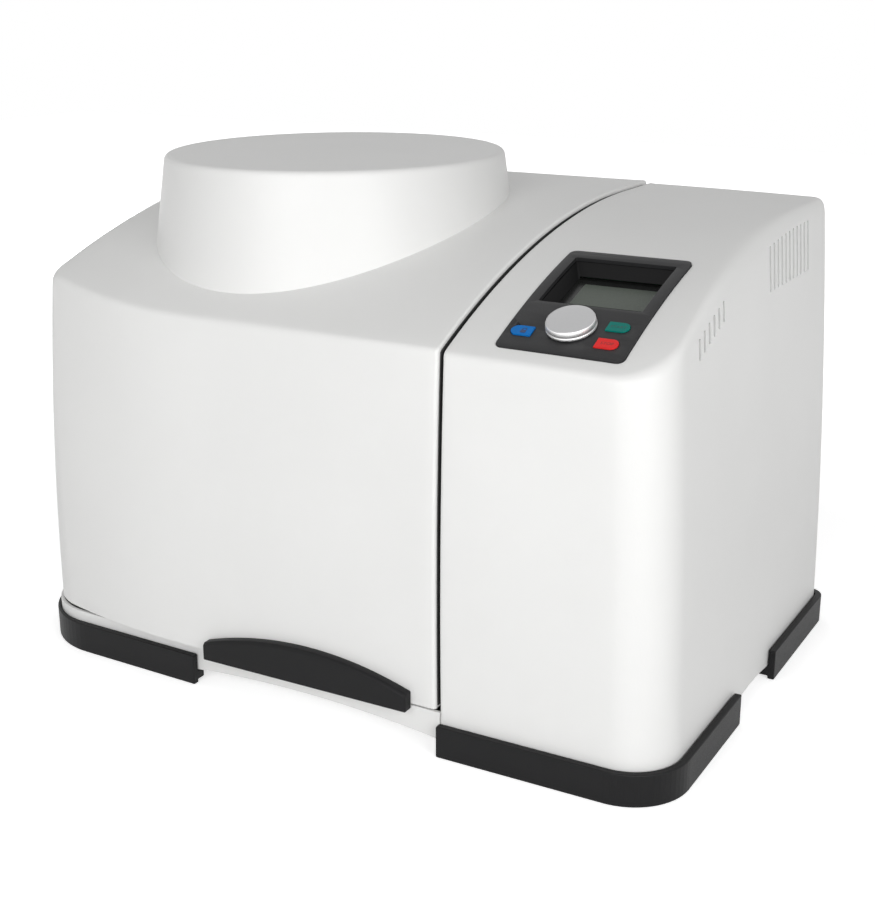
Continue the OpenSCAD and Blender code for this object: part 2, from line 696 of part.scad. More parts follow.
fan_y = [rear_panel_y[0] - fan_d, rear_panel_y[0]];
fan_bore_r = fan_w / 2 - 4;
fan_hub_r = 19;
module fan_frame() {
    color(black) {
        difference() {
            block([fan_x - fan_w / 2, fan_x + fan_w / 2], fan_y,
                  [fan_z - fan_w / 2, fan_z + fan_w / 2]);
            translate([fan_x, fan_y[0] - 1, fan_z]) rotate([-90, 0, 0])
                cylinder(r = fan_bore_r, h = fan_d + 2);
        }
        for (a = [0, 90]) translate([fan_x, fan_y[0], fan_z]) rotate([0, a, 0])
            block([-fan_bore_r - 1, fan_bore_r + 1], [0, 3], [-3, 3]);
        translate([fan_x, fan_y[0], fan_z]) rotate([-90, 0, 0]) cylinder(r = fan_hub_r, h = 4);
        translate([fan_x, fan_y[0], fan_z]) rotate([-90, 0, 0]) cylinder(r = 2, h = 12);
    }
}
blades = 7;
module fan_rotor() {
    color([0.16, 0.16, 0.17])
        translate([fan_x, fan_y[0] + 4.6, fan_z]) rotate([-90, 0, 0])
            difference() {
                union() {
                    cylinder(r = fan_hub_r, h = 16);
                    for (k = [0:blades - 1]) rotate([0, 0, k * 360 / blades])
                        translate([fan_hub_r - 3, 0, 8]) rotate([35, 0, 0])
                            block([0, fan_bore_r - fan_hub_r + 1], [-1, 1], [-9, 9]);
                }
                translate([0, 0, -1]) cylinder(r = 2 + running_fit, h = 10);
            }
}

// Chamber under the hood

tub_x = [26 - body_x, seam_x - 19.4];
tub_y = [31.8 - front_y, rear_cover_y - 7.5];
tub_z = [104, 168];
tub_wall = 2;
tub_floor_t = 4;
tub_r = 50;
housing_r = 45;
module tub_ring(grow_out, grow_in) {
    difference() {
        rounded([tub_x[0] - grow_out, tub_x[1] + grow_out],
                [tub_y[0] - grow_out, tub_y[1] + grow_out], tub_r + grow_out);
        rounded([tub_x[0] - grow_in, tub_x[1] + grow_in],
                [tub_y[0] - grow_in, tub_y[1] + grow_in], tub_r + grow_in);
    }
}
module chamber_tub() {
    color(steel) {
        translate([0, 0, tub_z[0]]) linear_extrude(tub_z[1] - tub_z[0]) tub_ring(0, -tub_wall);
        translate([0, 0, tub_z[1] - 2]) linear_extrude(2) tub_ring(3, -tub_wall);
        difference() {
            translate([0, 0, tub_z[0]]) linear_extrude(tub_floor_t)
                rounded([tub_x[0] + 1, tub_x[1] - 1], [tub_y[0] + 1, tub_y[1] - 1], tub_r - 1);
            disc(housing_r + pass_gap, [0, 200], sun_x, sun_y);
        }
    }
}
seal_h = 8;
module chamber_seal() {
    color(black)
        translate([0, 0, tub_z[1]]) linear_extrude(seal_h) tub_ring(3, -tub_wall - 1);
}

// Heights of the drive, from the belt up
belt_z = [42, 62];
pulley_z = [40, 64];
housing_z = [68, 110];
bearing_h = 17;
flange_r = 74;
fixed_z = [housing_z[1], housing_z[1] + 12];
wheel_z = [fixed_z[1] + 3, fixed_z[1] + 3 + wheel_t];
boss_r = 34;
boss_top = wheel_z[1] + 13;
motor_x = body_x - 93;
motor_y = 20;
motor_plate_z = [86, 94];
column = 30;
column_x = [tub_x[0] + 32, tub_x[1] - 32];
column_y = [tub_y[0] + 30, tub_y[1] - 40];
motor_post_x = [motor_x - 65, motor_x + 57];
motor_post_y = [-70, 104];
module drive_frame() {
    color(zinc) {
        for (x = column_x, y = column_y)
            block([x - column / 2, x + column / 2], [y - column / 2, y + column / 2],
                  [plate_z[1], tub_z[0]]);
        for (y = column_y)
            block([column_x[0], column_x[1]], [y - column / 2, y + column / 2],
                  [tub_z[0] - 10, tub_z[0]]);
        for (x = motor_post_x, y = motor_post_y)
            block([x - 10, x + 10], [y - 10, y + 10], [plate_z[1], motor_plate_z[0]]);
        difference() {
            block([motor_post_x[0] - 12, motor_post_x[1] + 12],
                  [motor_post_y[0] - 12, motor_post_y[1] + 12], motor_plate_z);
            disc(motor_pulley_r + 6, [0, 200], motor_x, motor_y);
        }
        difference() {
            block([sun_x - 90, sun_x + 90], [column_y[0], column_y[1]],
                  [tub_z[0] - 10, tub_z[0] - 4]);
            disc(housing_r + pass_gap, [0, 200], sun_x, sun_y);
        }
    }
}
bearing_r = 36;
module bearing_housing() {
    color([0.42, 0.44, 0.46])
        difference() {
            union() {
                disc(housing_r, housing_z, sun_x, sun_y);
                disc(flange_r, [tub_z[0] - 4, tub_z[0]], sun_x, sun_y);
            }
            disc(bearing_r, [housing_z[0] + 3, housing_z[1] + 1], sun_x, sun_y);
            disc(shaft_r + 3, [0, 200], sun_x, sun_y);
        }
}
module bearing(r_out, r_in, z, x, y) {
    difference() {
        disc(r_out, z, x, y);
        disc(r_in, [z[0] - 1, z[1] + 1], x, y);
    }
}
module main_bearings() {
    color(steel)
        for (z = [housing_z[0] + 3, housing_z[1] - bearing_h])
            bearing(bearing_r, shaft_r + running_fit, [z, z + bearing_h], sun_x, sun_y);
}
teeth = 40;
tooth_h = 1.2;
// A toothed pulley with a bore
module toothed(r, bore, z, x, y, count) {
    translate([x, y, z[0]])
        difference() {
            cylinder(r = r, h = z[1] - z[0]);
            for (k = [0:count - 1]) rotate([0, 0, k * 360 / count])
                translate([r - tooth_h, -r * PI / count / 2, 1])
                    cube([tooth_h * 2, r * PI / count, z[1] - z[0] - 2]);
            translate([0, 0, -1]) cylinder(r = bore, h = z[1] - z[0] + 2);
        }
}
module fixed_pulley() {
    color(zinc) toothed(fixed_pulley_r, shaft_r + 1, fixed_z, sun_x, sun_y, teeth);
}

motor_z = [motor_plate_z[1], motor_plate_z[1] + motor_h];
motor_shaft_r = 9.5;
module drive_motor() {
    color([0.30, 0.33, 0.36])
        difference() {
            union() {
                disc(motor_r + 12, [motor_z[0], motor_z[0] + 8], motor_x, motor_y);
                disc(motor_r - 6, [motor_z[0], motor_z[1]], motor_x, motor_y);
                for (k = [0:23]) translate([motor_x, motor_y, motor_z[0] + 14])
                    rotate([0, 0, k * 15]) block([motor_r - 8, motor_r], [-1.5, 1.5],
                                                 [0, motor_h - 50]);
                disc(motor_r, [motor_z[1] - 30, motor_z[1]], motor_x, motor_y);
            }
            disc(motor_shaft_r + running_fit, [0, motor_z[0] + 40], motor_x, motor_y);
        }
}
module motor_pulley() {
    color(zinc) {
        disc(motor_shaft_r, [pulley_z[0] - 2, motor_z[0] + 38], motor_x, motor_y);
        disc(motor_pulley_r, belt_z, motor_x, motor_y);
        disc(motor_pulley_r + 3, [pulley_z[0], belt_z[0] - pass_gap], motor_x, motor_y);
        disc(motor_pulley_r + 3, [belt_z[1] + pass_gap, pulley_z[1]], motor_x, motor_y);
        disc(motor_pulley_r - 2, pulley_z, motor_x, motor_y);
    }
}

// Outline around two pulleys: an arc of short flats round each, joined by straight runs
belt_steps = 36;
function belt_path(r1, p1, r2, p2) =
    let (v = p2 - p1, u = atan2(v.y, v.x), wrap = acos((r1 - r2) / norm(v)))
    [for (k = [0:2 * belt_steps + 1])
        let (first = k <= belt_steps, t = first ? k / belt_steps : (k - belt_steps - 1) / belt_steps,
             a = first ? u + wrap + (360 - 2 * wrap) * t : u - wrap + 2 * wrap * t)
        (first ? p1 : p2) + (first ? r1 : r2) * [cos(a), sin(a)]];
module belt(r1, p1, r2, p2, t, z) {
    translate([0, 0, z[0]]) linear_extrude(z[1] - z[0])
        difference() {
            polygon(belt_path(r1 + pass_gap + t, p1, r2 + pass_gap + t, p2));
            polygon(belt_path(r1 + pass_gap, p1, r2 + pass_gap, p2));
        }
}
module drive_belt() {
    color(black)
        belt(sun_pulley_r, sun_axis, motor_pulley_r, [motor_x, motor_y], 2.2, belt_z);
}

inverter_z = [170, 258];
inverter_y = [rear_panel_y[0] - 77, rear_panel_y[0] - 19];
module inverter_box() {
    color([0.25, 0.27, 0.30]) {
        block([fan_x - 52, fan_x + 52], inverter_y, inverter_z);
        for (x = [fan_x - 44, fan_x + 44], z = [inverter_z[0] + 8, inverter_z[1] - 8])
            translate([x, inverter_y[1] - 1, z]) rotate([-90, 0, 0])
                cylinder(r = 4, h = rear_panel_y[0] - inverter_y[1] + 1);
        for (k = [0:7]) block([fan_x - 44 + k * 12, fan_x - 40 + k * 12],
                              [inverter_y[0] - 8, inverter_y[0] + 1],
                              [inverter_z[0] + 6, inverter_z[1] - 6]);
    }
}

// Hinges on the outside of the rear wall

knuckle_r = 4.5;
pin_r = 2.2;
knuckle_w = 26;
leaf_w = 20;
leaf_t = 2;
leaf_gap = 0.4;
hinge_at = [-210, 40];
handle_face = belly(handle_high) - front_y;
hinge_y = handle_out - handle_face - knuckle_r;
hinge_z = rear_cover_top + rear_gap / 2;
module along_x(r, x, y, z) {
    translate([x[0], y, z]) rotate([0, 90, 0]) cylinder(r = r, h = x[1] - x[0]);
}
leaf_y = [body_y, body_y + leaf_t];
knuckle_clear = knuckle_r + leaf_gap;
// Fixed leaves with one knuckle each
module hinge_brackets() {
    color(steel)
        for (c = hinge_at)
            difference() {
                union() {
                    along_x(knuckle_r, [c - knuckle_w / 2, c + knuckle_w / 2], hinge_y, hinge_z);
                    block([c - knuckle_w / 2, c + knuckle_w / 2], leaf_y,
                          [hinge_z - 36, hinge_z]);
                    block([c - knuckle_w / 2 - leaf_w, c + knuckle_w / 2 + leaf_w], leaf_y,
                          [hinge_z - 36, hinge_z - knuckle_clear]);
                    block([c - knuckle_w / 2, c + knuckle_w / 2], [body_y, hinge_y],
                          [hinge_z - 3, hinge_z]);
                }
                along_x(pin_r, [c - knuckle_w, c + knuckle_w], hinge_y, hinge_z);
                block([c - knuckle_w, c + knuckle_w], [body_y - 1, body_y + 1],
                      [rear_cover_top, hinge_z + 10]);
            }
}
module hinge_pins() {
    color(zinc)
        for (c = hinge_at)
            along_x(pin_r, [c - knuckle_w / 2 - leaf_w, c + knuckle_w / 2 + leaf_w], hinge_y, hinge_z);
}
// Leaves on the hood with two knuckles each
module hinge_leaves() {
    color(steel)
        for (c = hinge_at) {
            block([c - knuckle_w / 2 - leaf_w, c + knuckle_w / 2 + leaf_w], leaf_y,
                  [hinge_z + knuckle_clear, hinge_z + 18]);
            for (x = [[c - knuckle_w / 2 - leaf_w, c - knuckle_w / 2 - leaf_gap],
                      [c + knuckle_w / 2 + leaf_gap, c + knuckle_w / 2 + leaf_w]])
                difference() {
                    union() {
                        along_x(knuckle_r, x, hinge_y, hinge_z);
                        block(x, leaf_y, [hinge_z + rear_gap / 2, hinge_z + knuckle_clear + 1]);
                        block(x, [body_y, hinge_y], [hinge_z + rear_gap / 2, hinge_z + 3.5]);
                    }
                    along_x(pin_r + running_fit, x + [-1, 1], hinge_y, hinge_z);
                }
        }
}

// Hood

module hood_shell() {
    color(white)
        difference() {
            hood_skin(0, casing_wall, hood_bottom, 6, 4);
            rear_region(rear_cover_y - rear_gap, rear_cover_top + rear_gap);
            along_x(bolt_r + pass_gap + 0.2, [hood_right - 10, hood_right + 5], latch_y, latch_z);
            block([hood_right - 10, hood_right + 5], belt_notch_y, [0, belt_notch_top]);
        }
}
liner_inset = casing_wall + 0.6;
module hood_liner() {
    color([0.55, 0.56, 0.57])
        difference() {
            hood_skin(liner_inset, liner_inset + liner_t, liner_z, 3, 3);
            rear_region(120, 500);
        }
}
bow_r = (pow(handle_len / 2, 2) + pow(handle_high - handle_low - handle_end, 2))
        / (2 * (handle_high - handle_low - handle_end));
handle_bevel = 2;
module hood_handle() {
    color(black)
        difference() {
            intersection() {
                translate([handle_x, handle_face, handle_high - bow_r]) rotate([90, 0, 0]) {
                    cylinder(r = bow_r, h = handle_out - handle_bevel, $fn = 360);
                    translate([0, 0, handle_out - handle_bevel])
                        cylinder(r1 = bow_r, r2 = bow_r - handle_bevel, h = handle_bevel, $fn = 360);
                }
                block([handle_x - handle_len / 2, handle_x + handle_len / 2],
                      [handle_face - handle_out, handle_face], [handle_low, handle_high]);
            }
            block([handle_x - handle_len / 2 + 8, handle_x + handle_len / 2 - 8],
                  [handle_face - handle_out + 3, handle_face + 1],
                  [handle_low - 1, handle_low + 9]);
        }
}
striker_x = [hood_right - casing_wall - 8, hood_right - casing_wall];
module lock_striker() {
    color(steel)
        difference() {
            block(striker_x, [latch_y - 16, latch_y + 16], [latch_z - 16, latch_z + 16]);
            along_x(bolt_r + pass_gap, [striker_x[0] - 1, striker_x[1] + 1], latch_y, latch_z);
        }
}
latch_x = [tower_left + casing_wall, tower_left + casing_wall + 56];
module latch_housing() {
    color([0.25, 0.27, 0.30])
        difference() {
            block(latch_x, [latch_y - 16, latch_y + 16], [latch_z - 14, latch_z + 14]);
            along_x(bolt_r + running_fit, [latch_x[0] - 1, latch_x[1] - 3], latch_y, latch_z);
        }
}
bolt_x = [tower_left + 0.3, latch_x[1] - 5];
module latch_bolt() {
    color(steel) along_x(bolt_r, bolt_x, latch_y, latch_z);
}

// Control panel on the slope of the tower

window_s = 24;
knob_s = -40;
knob_x = panel_x - 1.5;
open_x = panel_x - 36;
open_s = -50.5;
start_x = panel_x + 32;
start_s = -33.5;
stop_x = panel_x + 31.5;
stop_s = -54;
// D shaped button outline, square on one side and round on the other
module button_plan(grow, flip) {
    mirror([flip, 0, 0]) {
        translate([-button_w / 2 - grow, -button_l / 2 - grow])
            square([button_w - button_l / 2 + grow, button_l + 2 * grow]);
        translate([button_w / 2 - button_l / 2, 0]) circle(r = button_l / 2 + grow, $fn = 48);
    }
}
module button_at(x, s, flip, tone) {
    color(tone)
        on_slope(x, s) translate([0, 0, panel_out - panel_t]) linear_extrude(panel_t + button_travel)
            button_plan(0, flip);
}
module start_button() button_at(start_x, start_s, 0, [0.02, 0.45, 0.42]);
module stop_button() button_at(stop_x, stop_s, 0, [0.85, 0.18, 0.18]);
module open_button() button_at(open_x, open_s, 1, [0.05, 0.42, 0.78]);
module button_holes() {
    for (b = [[start_x, start_s, 0], [stop_x, stop_s, 0], [open_x, open_s, 1]])
        on_slope(b[0], b[1]) translate([0, 0, -10]) linear_extrude(20)
            button_plan(pass_gap, b[2]);
}
module control_panel() {
    color([0.24, 0.24, 0.24])
        difference() {
            intersection() {
                slope_band([panel_x - panel_w / 2, panel_x + panel_w / 2],
                           panel_out - panel_t, panel_out);
                on_slope(panel_x) translate([0, 0, -40]) linear_extrude(80)
                    rounded([-panel_w / 2, panel_w / 2], [-panel_l / 2, panel_l / 2], 5.6);
            }
            on_slope(panel_x, window_s) translate([0, 0, -10]) linear_extrude(30)
                rounded([-window_w / 2, window_w / 2], [-window_l / 2, window_l / 2], 1.5);
            button_holes();
            on_slope(knob_x, knob_s) translate([0, 0, -10]) cylinder(r = 5, h = 20);
        }
}
// Sloping walls of the window recess
bezel_t = 2;
bezel_top = panel_out - panel_t - 1.3;
module recess(grow, low) {
    hull() {
        translate([0, 0, 0]) linear_extrude(0.2)
            rounded([-window_w / 2 - grow, window_w / 2 + grow],
                    [-window_l / 2 - grow, window_l / 2 + grow], 1.5);
        translate([0, 0, low]) linear_extrude(0.2)
            rounded([-window_w / 2 - grow + 7, window_w / 2 + grow - 3],
                    [-window_l / 2 - grow + 5, window_l / 2 + grow - 13], 1.5);
    }
}
module display_bezel() {
    color([0.08, 0.08, 0.08])
        on_slope(panel_x, window_s) translate([0, 0, bezel_top])
            difference() {
                recess(bezel_t, -window_depth);
                translate([0, 0, 0.01]) recess(0, -window_depth - bezel_t);
                translate([0, 0, -window_depth]) block([-60, 60], [-60, 60],
                                                       [-bezel_t - 1, 0]);
            }
}
glass_t = 1.6;
module display_glass() {
    color([0.33, 0.36, 0.33])
        on_slope(panel_x + 2, window_s)
            translate([0, -4, bezel_top - window_depth - glass_t - 0.2])
                block([-glass_w / 2 - 9, glass_w / 2 + 8], [-glass_l / 2 - 12, glass_l / 2 + 13],
                      [0, glass_t]);
}
board_z = bezel_top - window_depth - glass_t - 0.5;
module control_board() {
    color([0.05, 0.30, 0.16])
        on_slope(panel_x, 0) translate([0, 0, board_z - 6])
            block([-panel_w / 2 + 2, panel_w / 2 - 2], [-panel_l / 2 + 4, panel_l / 2 - 4],
                  [0, 1.6]);
}
module encoder() {
    color(zinc)
        on_slope(knob_x, knob_s) {
            translate([0, 0, board_z - 3]) cylinder(r = 7, h = 8);
            translate([0, 0, board_z]) cylinder(r = 3, h = -board_z + knob_h - 3);
        }
}
knob_gap = 0.5;
module control_knob() {
    color([0.80, 0.80, 0.81])
        on_slope(knob_x, knob_s) translate([0, 0, panel_out + knob_gap])
            difference() {
                rotate_extrude()
                    polygon([[0, 0], [knob_r, 0], [knob_r, knob_h - 2.5], [knob_r - 1.5, knob_h],
                             [0, knob_h]]);
                translate([0, 0, -1]) cylinder(r = 3 + running_fit, h = knob_h - 3);
            }
}

// Mill

module sun_shaft() {
    color(steel)
        disc(shaft_r, [plate_z[1] + 2, wheel_z[1] + 4], sun_x, sun_y);
}
module sun_pulley() {
    color(zinc)
        difference() {
            union() {
                disc(sun_pulley_r, belt_z, sun_x, sun_y);
                disc(sun_pulley_r + 3, [pulley_z[0], belt_z[0] - pass_gap], sun_x, sun_y);
                disc(sun_pulley_r + 3, [belt_z[1] + pass_gap, pulley_z[1]], sun_x, sun_y);
                disc(sun_pulley_r - 3, pulley_z, sun_x, sun_y);
            }
            disc(shaft_r, [0, 200], sun_x, sun_y);
            for (a = [0:60:300]) translate([sun_x, sun_y, 0]) rotate([0, 0, a])
                disc(11, [0, 100], (sun_pulley_r + shaft_r) / 2);
        }
}
planet_x = sun_x + orbit_r;
planet_bearing_r = 26;
holder_shaft_r = 12;
rail_y = 22;
rail_x = [sun_x - 122, sun_x - 26];
rail_h = 8;
module sun_wheel() {
    color([0.74, 0.75, 0.76])
        difference() {
            union() {
                disc(wheel_r, wheel_z, sun_x, sun_y);
                disc(boss_r, [wheel_z[1], boss_top], planet_x, sun_y);
                for (s = [-1, 1]) block(rail_x, [sun_y + s * rail_y - 4, sun_y + s * rail_y + 4],
                                        [wheel_z[1], wheel_z[1] + rail_h]);
            }
            disc(shaft_r, [0, 200], sun_x, sun_y);
            disc(planet_bearing_r, [wheel_z[0] + 2, boss_top + 1], planet_x, sun_y);
            disc(holder_shaft_r + 3, [0, boss_top], planet_x, sun_y);
        }
}
planet_bearing_h = 10;
module planet_bearings() {
    color(steel)
        for (z = [wheel_z[0] + 2, boss_top - planet_bearing_h])
            bearing(planet_bearing_r, holder_shaft_r + running_fit, [z, z + planet_bearing_h],
                    planet_x, sun_y);
}
planet_belt_z = [fixed_z[0] + 1.5, fixed_z[1] - 1.5];
module planet_belt() {
    color(black)
        belt(fixed_pulley_r, sun_axis, planet_pulley_r, [planet_x, sun_y], 2, planet_belt_z);
}
stub_r = 8;
module planet_pulley() {
    color(zinc) toothed(planet_pulley_r, stub_r, fixed_z, planet_x, sun_y, teeth / 2);
}
holder_z = [boss_top + 1, boss_top + 9];
holder_r = 67;
cup_h = 14;
jar_fit = 0.5;
module jar_holder() {
    color([0.70, 0.71, 0.72]) {
        disc(stub_r, [fixed_z[0], fixed_z[1] + 1], planet_x, sun_y);
        disc(holder_shaft_r, [fixed_z[1] + 1, holder_z[0]], planet_x, sun_y);
        difference() {
            disc(holder_r, [holder_z[0], holder_z[1] + cup_h], planet_x, sun_y);
            disc(jar_r + jar_fit, [holder_z[1], 300], planet_x, sun_y);
        }
    }
}
jar_z = [holder_z[1] + 0.3, holder_z[1] + 0.3 + jar_h];
cavity_z = jar_z[0] + jar_wall + 4;
module grinding_jar() {
    color([0.75, 0.76, 0.77])
        translate([planet_x, sun_y, 0])
            rotate_extrude($fn = 96)
                polygon([[0, jar_z[0]], [jar_r - 1, jar_z[0]], [jar_r, jar_z[0] + 1],
                         [jar_r, jar_z[1] - 12], [jar_r - 2, jar_z[1] - 10],
                         [jar_r - 2, jar_z[1]], [jar_r - jar_wall, jar_z[1]],
                         [jar_r - jar_wall, cavity_z], [0, cavity_z]]);
}
module grinding_balls() {
    color(steel) {
        translate([planet_x, sun_y, cavity_z + ball_r]) sphere(r = ball_r);
        for (k = [0:5]) translate([planet_x, sun_y, cavity_z + ball_r]) rotate([0, 0, k * 60])
            translate([2 * ball_r + 0.3, 0, 0]) sphere(r = ball_r);
    }
}
seal_gap = 0.3;
seal_t = 2;
lid_z = [jar_z[1] + seal_t + seal_gap, jar_z[1] + seal_t + seal_gap + lid_t];
module jar_seal() {
    color(black)
        bearing(jar_r - 2.5, jar_r - jar_wall + 0.5, [jar_z[1] + seal_gap, lid_z[0]],
                planet_x, sun_y);
}
module jar_lid() {
    color([0.75, 0.76, 0.77])
        translate([planet_x, sun_y, 0])
            rotate_extrude($fn = 96)
                polygon([[0, lid_z[0] - seal_t], [jar_r - jar_wall, lid_z[0] - seal_t],
                         [jar_r - jar_wall, lid_z[0]], [jar_r, lid_z[0]],
                         [jar_r, lid_z[1] - 2], [jar_r - 2, lid_z[1]], [0, lid_z[1]]]);
}
// Clamp: a bridge whose two legs stand on the holder, with a spindle and its foot
foot_pad_r = 12;
foot_z = [lid_z[1] + 0.3, lid_z[1] + 9];
clamp_lift = 8;
bridge_z = [foot_z[1] + clamp_lift + 1, foot_z[1] + clamp_lift + 1 + bridge_t];
leg_y = [jar_r + 3.5, holder_r];
module clamp_bridge() {
    color([0.50, 0.52, 0.55])
        difference() {
            union() {
                block([planet_x - 15, planet_x + 15], [sun_y - holder_r, sun_y + holder_r],
                      bridge_z);
                for (s = [-1, 1])
                    block([planet_x - 15, planet_x + 15],
                          s > 0 ? [sun_y + leg_y[0], sun_y + leg_y[1]]
                                : [sun_y - leg_y[1], sun_y - leg_y[0]],
                          [holder_z[1] + cup_h + 0.3, bridge_z[1]]);
            }
            disc(spindle_r + running_fit, [bridge_z[0] - 1, bridge_z[1] + 1], planet_x, sun_y);
        }
}
module clamp_foot() {
    color(steel)
        difference() {
            union() {
                disc(foot_pad_r + 4, [foot_z[0], foot_z[0] + 4], planet_x, sun_y);
                disc(foot_pad_r, foot_z, planet_x, sun_y);
            }
            disc(5 + running_fit, [foot_z[1] - 4, foot_z[1] + 1], planet_x, sun_y);
        }
}
wheel_gap = 1;
hand_wheel_z = [bridge_z[1] + wheel_gap, bridge_z[1] + wheel_gap + 16];
lobes = 5;
module clamp_hand_wheel() {
    color(black)
        translate([planet_x, sun_y, hand_wheel_z[0]])
            linear_extrude(hand_wheel_z[1] - hand_wheel_z[0])
                difference() {
                    circle(r = hand_wheel_r, $fn = 96);
                    for (k = [0:lobes - 1]) rotate(k * 360 / lobes)
                        translate([hand_wheel_r + 5, 0]) circle(r = 12, $fn = 48);
                }
    color(steel) {
        disc(spindle_r, [foot_z[1] + 0.3, hand_wheel_z[0]], planet_x, sun_y);
        disc(5, [foot_z[1] - 3.5, foot_z[1] + 1], planet_x, sun_y);
    }
}
// Balance weight on its two rails, opposite the jar
weight_x = [sun_x - 112, sun_x - 44];
module balance_weight() {
    color([0.36, 0.38, 0.40])
        difference() {
            intersection() {
                block(weight_x, [sun_y - weight_w / 2, sun_y + weight_w / 2],
                      [wheel_z[1] + 0.5, wheel_z[1] + 0.5 + weight_h]);
                disc(wheel_r - 6, [0, 300], sun_x, sun_y);
            }
            for (s = [-1, 1])
                block([sun_x - 200, sun_x], [sun_y + s * rail_y - 4.4, sun_y + s * rail_y + 4.4],
                      [wheel_z[0], wheel_z[1] + rail_h + 0.4]);
        }
}

// Screws that hold the casings: heads on the rear cover and the rear panel
module housing_screws() {
    color(steel) {
        for (x = [rear_x[0] - 4, rear_x[1] + 4], z = [rear_z[0] + 12, 210, rear_z[1] - 12])
            translate([x, body_y - casing_wall - rear_t - 2.4, z]) rotate([-90, 0, 0])
                cylinder(r = 3.5, h = 2.4);
        for (k = [0:2], z = [60, 250])
            translate([(tub_x[0] + 42) * (1 - k / 2) + (tub_x[1] - 44) * k / 2, body_y, z])
                rotate([-90, 0, 0]) cylinder(r = 4, h = 2);
    }
}

base_tray();
base_plate();
foot_front_right();
foot_rear_right();
foot_rear_left();
foot_front_left();
foot_pads();
tower_shell();
rear_cover();
rear_panel();
chamber_tub();
chamber_seal();
drive_frame();
bearing_housing();
main_bearings();
fixed_pulley();
drive_motor();
drive_belt();
inverter_box();
hinge_brackets();
hinge_pins();
latch_housing();
control_panel();
display_bezel();
display_glass();
control_board();
encoder();
fan_frame();
power_entry();
housing_screws();
hood_shell();
hood_liner();
hood_handle();
hinge_leaves();
lock_striker();
sun_shaft();
sun_pulley();
sun_wheel();
planet_bearings();
planet_belt();
jar_holder();
planet_pulley();
balance_weight();
clamp_bridge();
clamp_foot();
clamp_hand_wheel();
grinding_jar();
grinding_balls();
jar_lid();
jar_seal();
motor_pulley();
control_knob();
start_button();
stop_button();
open_button();
fan_rotor();
power_switch();
fuse_drawer();
latch_bolt();
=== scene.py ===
import json
import math

import bmesh
import bpy
import numpy as np
from mathutils import Matrix, Vector

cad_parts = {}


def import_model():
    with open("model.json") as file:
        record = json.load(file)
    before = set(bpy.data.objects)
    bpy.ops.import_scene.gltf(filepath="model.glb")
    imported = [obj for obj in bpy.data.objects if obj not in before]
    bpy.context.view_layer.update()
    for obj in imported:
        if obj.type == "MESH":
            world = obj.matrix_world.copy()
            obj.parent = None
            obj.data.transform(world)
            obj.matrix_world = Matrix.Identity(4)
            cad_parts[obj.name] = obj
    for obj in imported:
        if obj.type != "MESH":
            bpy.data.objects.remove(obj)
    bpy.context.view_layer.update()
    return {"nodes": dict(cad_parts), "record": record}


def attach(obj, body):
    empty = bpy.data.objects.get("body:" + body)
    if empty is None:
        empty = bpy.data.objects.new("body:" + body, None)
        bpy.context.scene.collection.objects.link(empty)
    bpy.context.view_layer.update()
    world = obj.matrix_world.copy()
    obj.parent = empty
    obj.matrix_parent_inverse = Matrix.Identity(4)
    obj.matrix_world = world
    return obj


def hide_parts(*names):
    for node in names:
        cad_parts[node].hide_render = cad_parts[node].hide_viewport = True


# Planetary ball mill: looks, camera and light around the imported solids

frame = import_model()
nodes = frame["nodes"]
MM = 0.001

# Sizes in millimetres and slopes, as in the part's source

# Casing: half width, half depths, seam between hood and tower, wall, lower edges
BODY_X, BODY_Y, FRONT_Y = 308.0, 200.5, 201.8
SEAM_X, SEAM_GAP = 123.4, 3.8
HOOD_RIGHT, TOWER_LEFT = SEAM_X - SEAM_GAP / 2, SEAM_X + SEAM_GAP / 2
WALL = 3.5
HOOD_BOTTOM, BASE_LOW = 37.5, 12.0
# Top: flat at the back, an arc down to the front; the tower's is lower and crowned
FLAT_Z, ARC_R, ARC_Y = 399.4, 728.0, 128.0
STEP, CROWN = 2.0, 2.5
# Walls: they lean in above LEAN_Z, and the front is fullest at BELLY_Z
HOOD_LEAN, TOWER_LEAN, LEAN_Z, LEAN_FLAT = 0.066, 0.018, 30.0, 10700.0
BELLY_Z, BELLY_FLAT = 125.0, 7400.0
# Upright corners; the hood's front left one gets squarer up to CORNER_TOP
CORNER_TOP = 335.0
RIGHT_CORNER, REAR_CORNER = 42.0, 9.0
LEFT_CORNER_LOW, LEFT_CORNER_HIGH = 60.0, 20.0
SWEEP_X, SWEEP_R = -110.0, 650.0
# Roundings between walls and top, and the least that an inner skin keeps of them
SEAM_R, FRONT_R, SIDE_R, REAR_R = 3.0, 4.5, 15.0, 9.0
LEAST_CORNER, LEAST_EDGE = 0.6, 1.0
# Dome over the sun wheel's centre
SUN = np.array([-92.0, 5.0])
DOME = np.array([143.7, 155.8])
DOME_TOP, DOME_TAPER, DOME_EDGE = 434.5, 0.143, 5.0
# Rear cover and its gap to the hood
COVER_Y, COVER_TOP, GAP = 165.5, 370.0, 1.5
# Latch bolt and its holes
BOLT_R, PASS, HOOD_PASS = 6.0, 0.4, 0.6
LATCH_Y, LATCH_Z = -135.0, 75.0
# Passages in the walls beside the seam
PASS_X = (120, 132)
BELT_HIGH, BELT_FRONT, TRAY_Y, TRAY_HIGH = 84, -100, 195.5, 28.4
HOOD_BELT_FRONT, HOOD_BELT_HIGH = -66, 74
# Arch in the tower's lower side edge, between the feet
ARCH_HALF, ARCH_RISE, ARCH_Y = 45.25, 3.25, 6.25
# Openings of the rear panel and the control panel
REAR_OPENING = ((150, 190, 66), (250, 210, 356))
PANEL_X, PANEL_Y, PANEL_OUT = 209.0, -117.5, 0.6
PANEL_HALF_X, PANEL_HALF_Y, PANEL_CORNER = 49.9, 71.4, 6
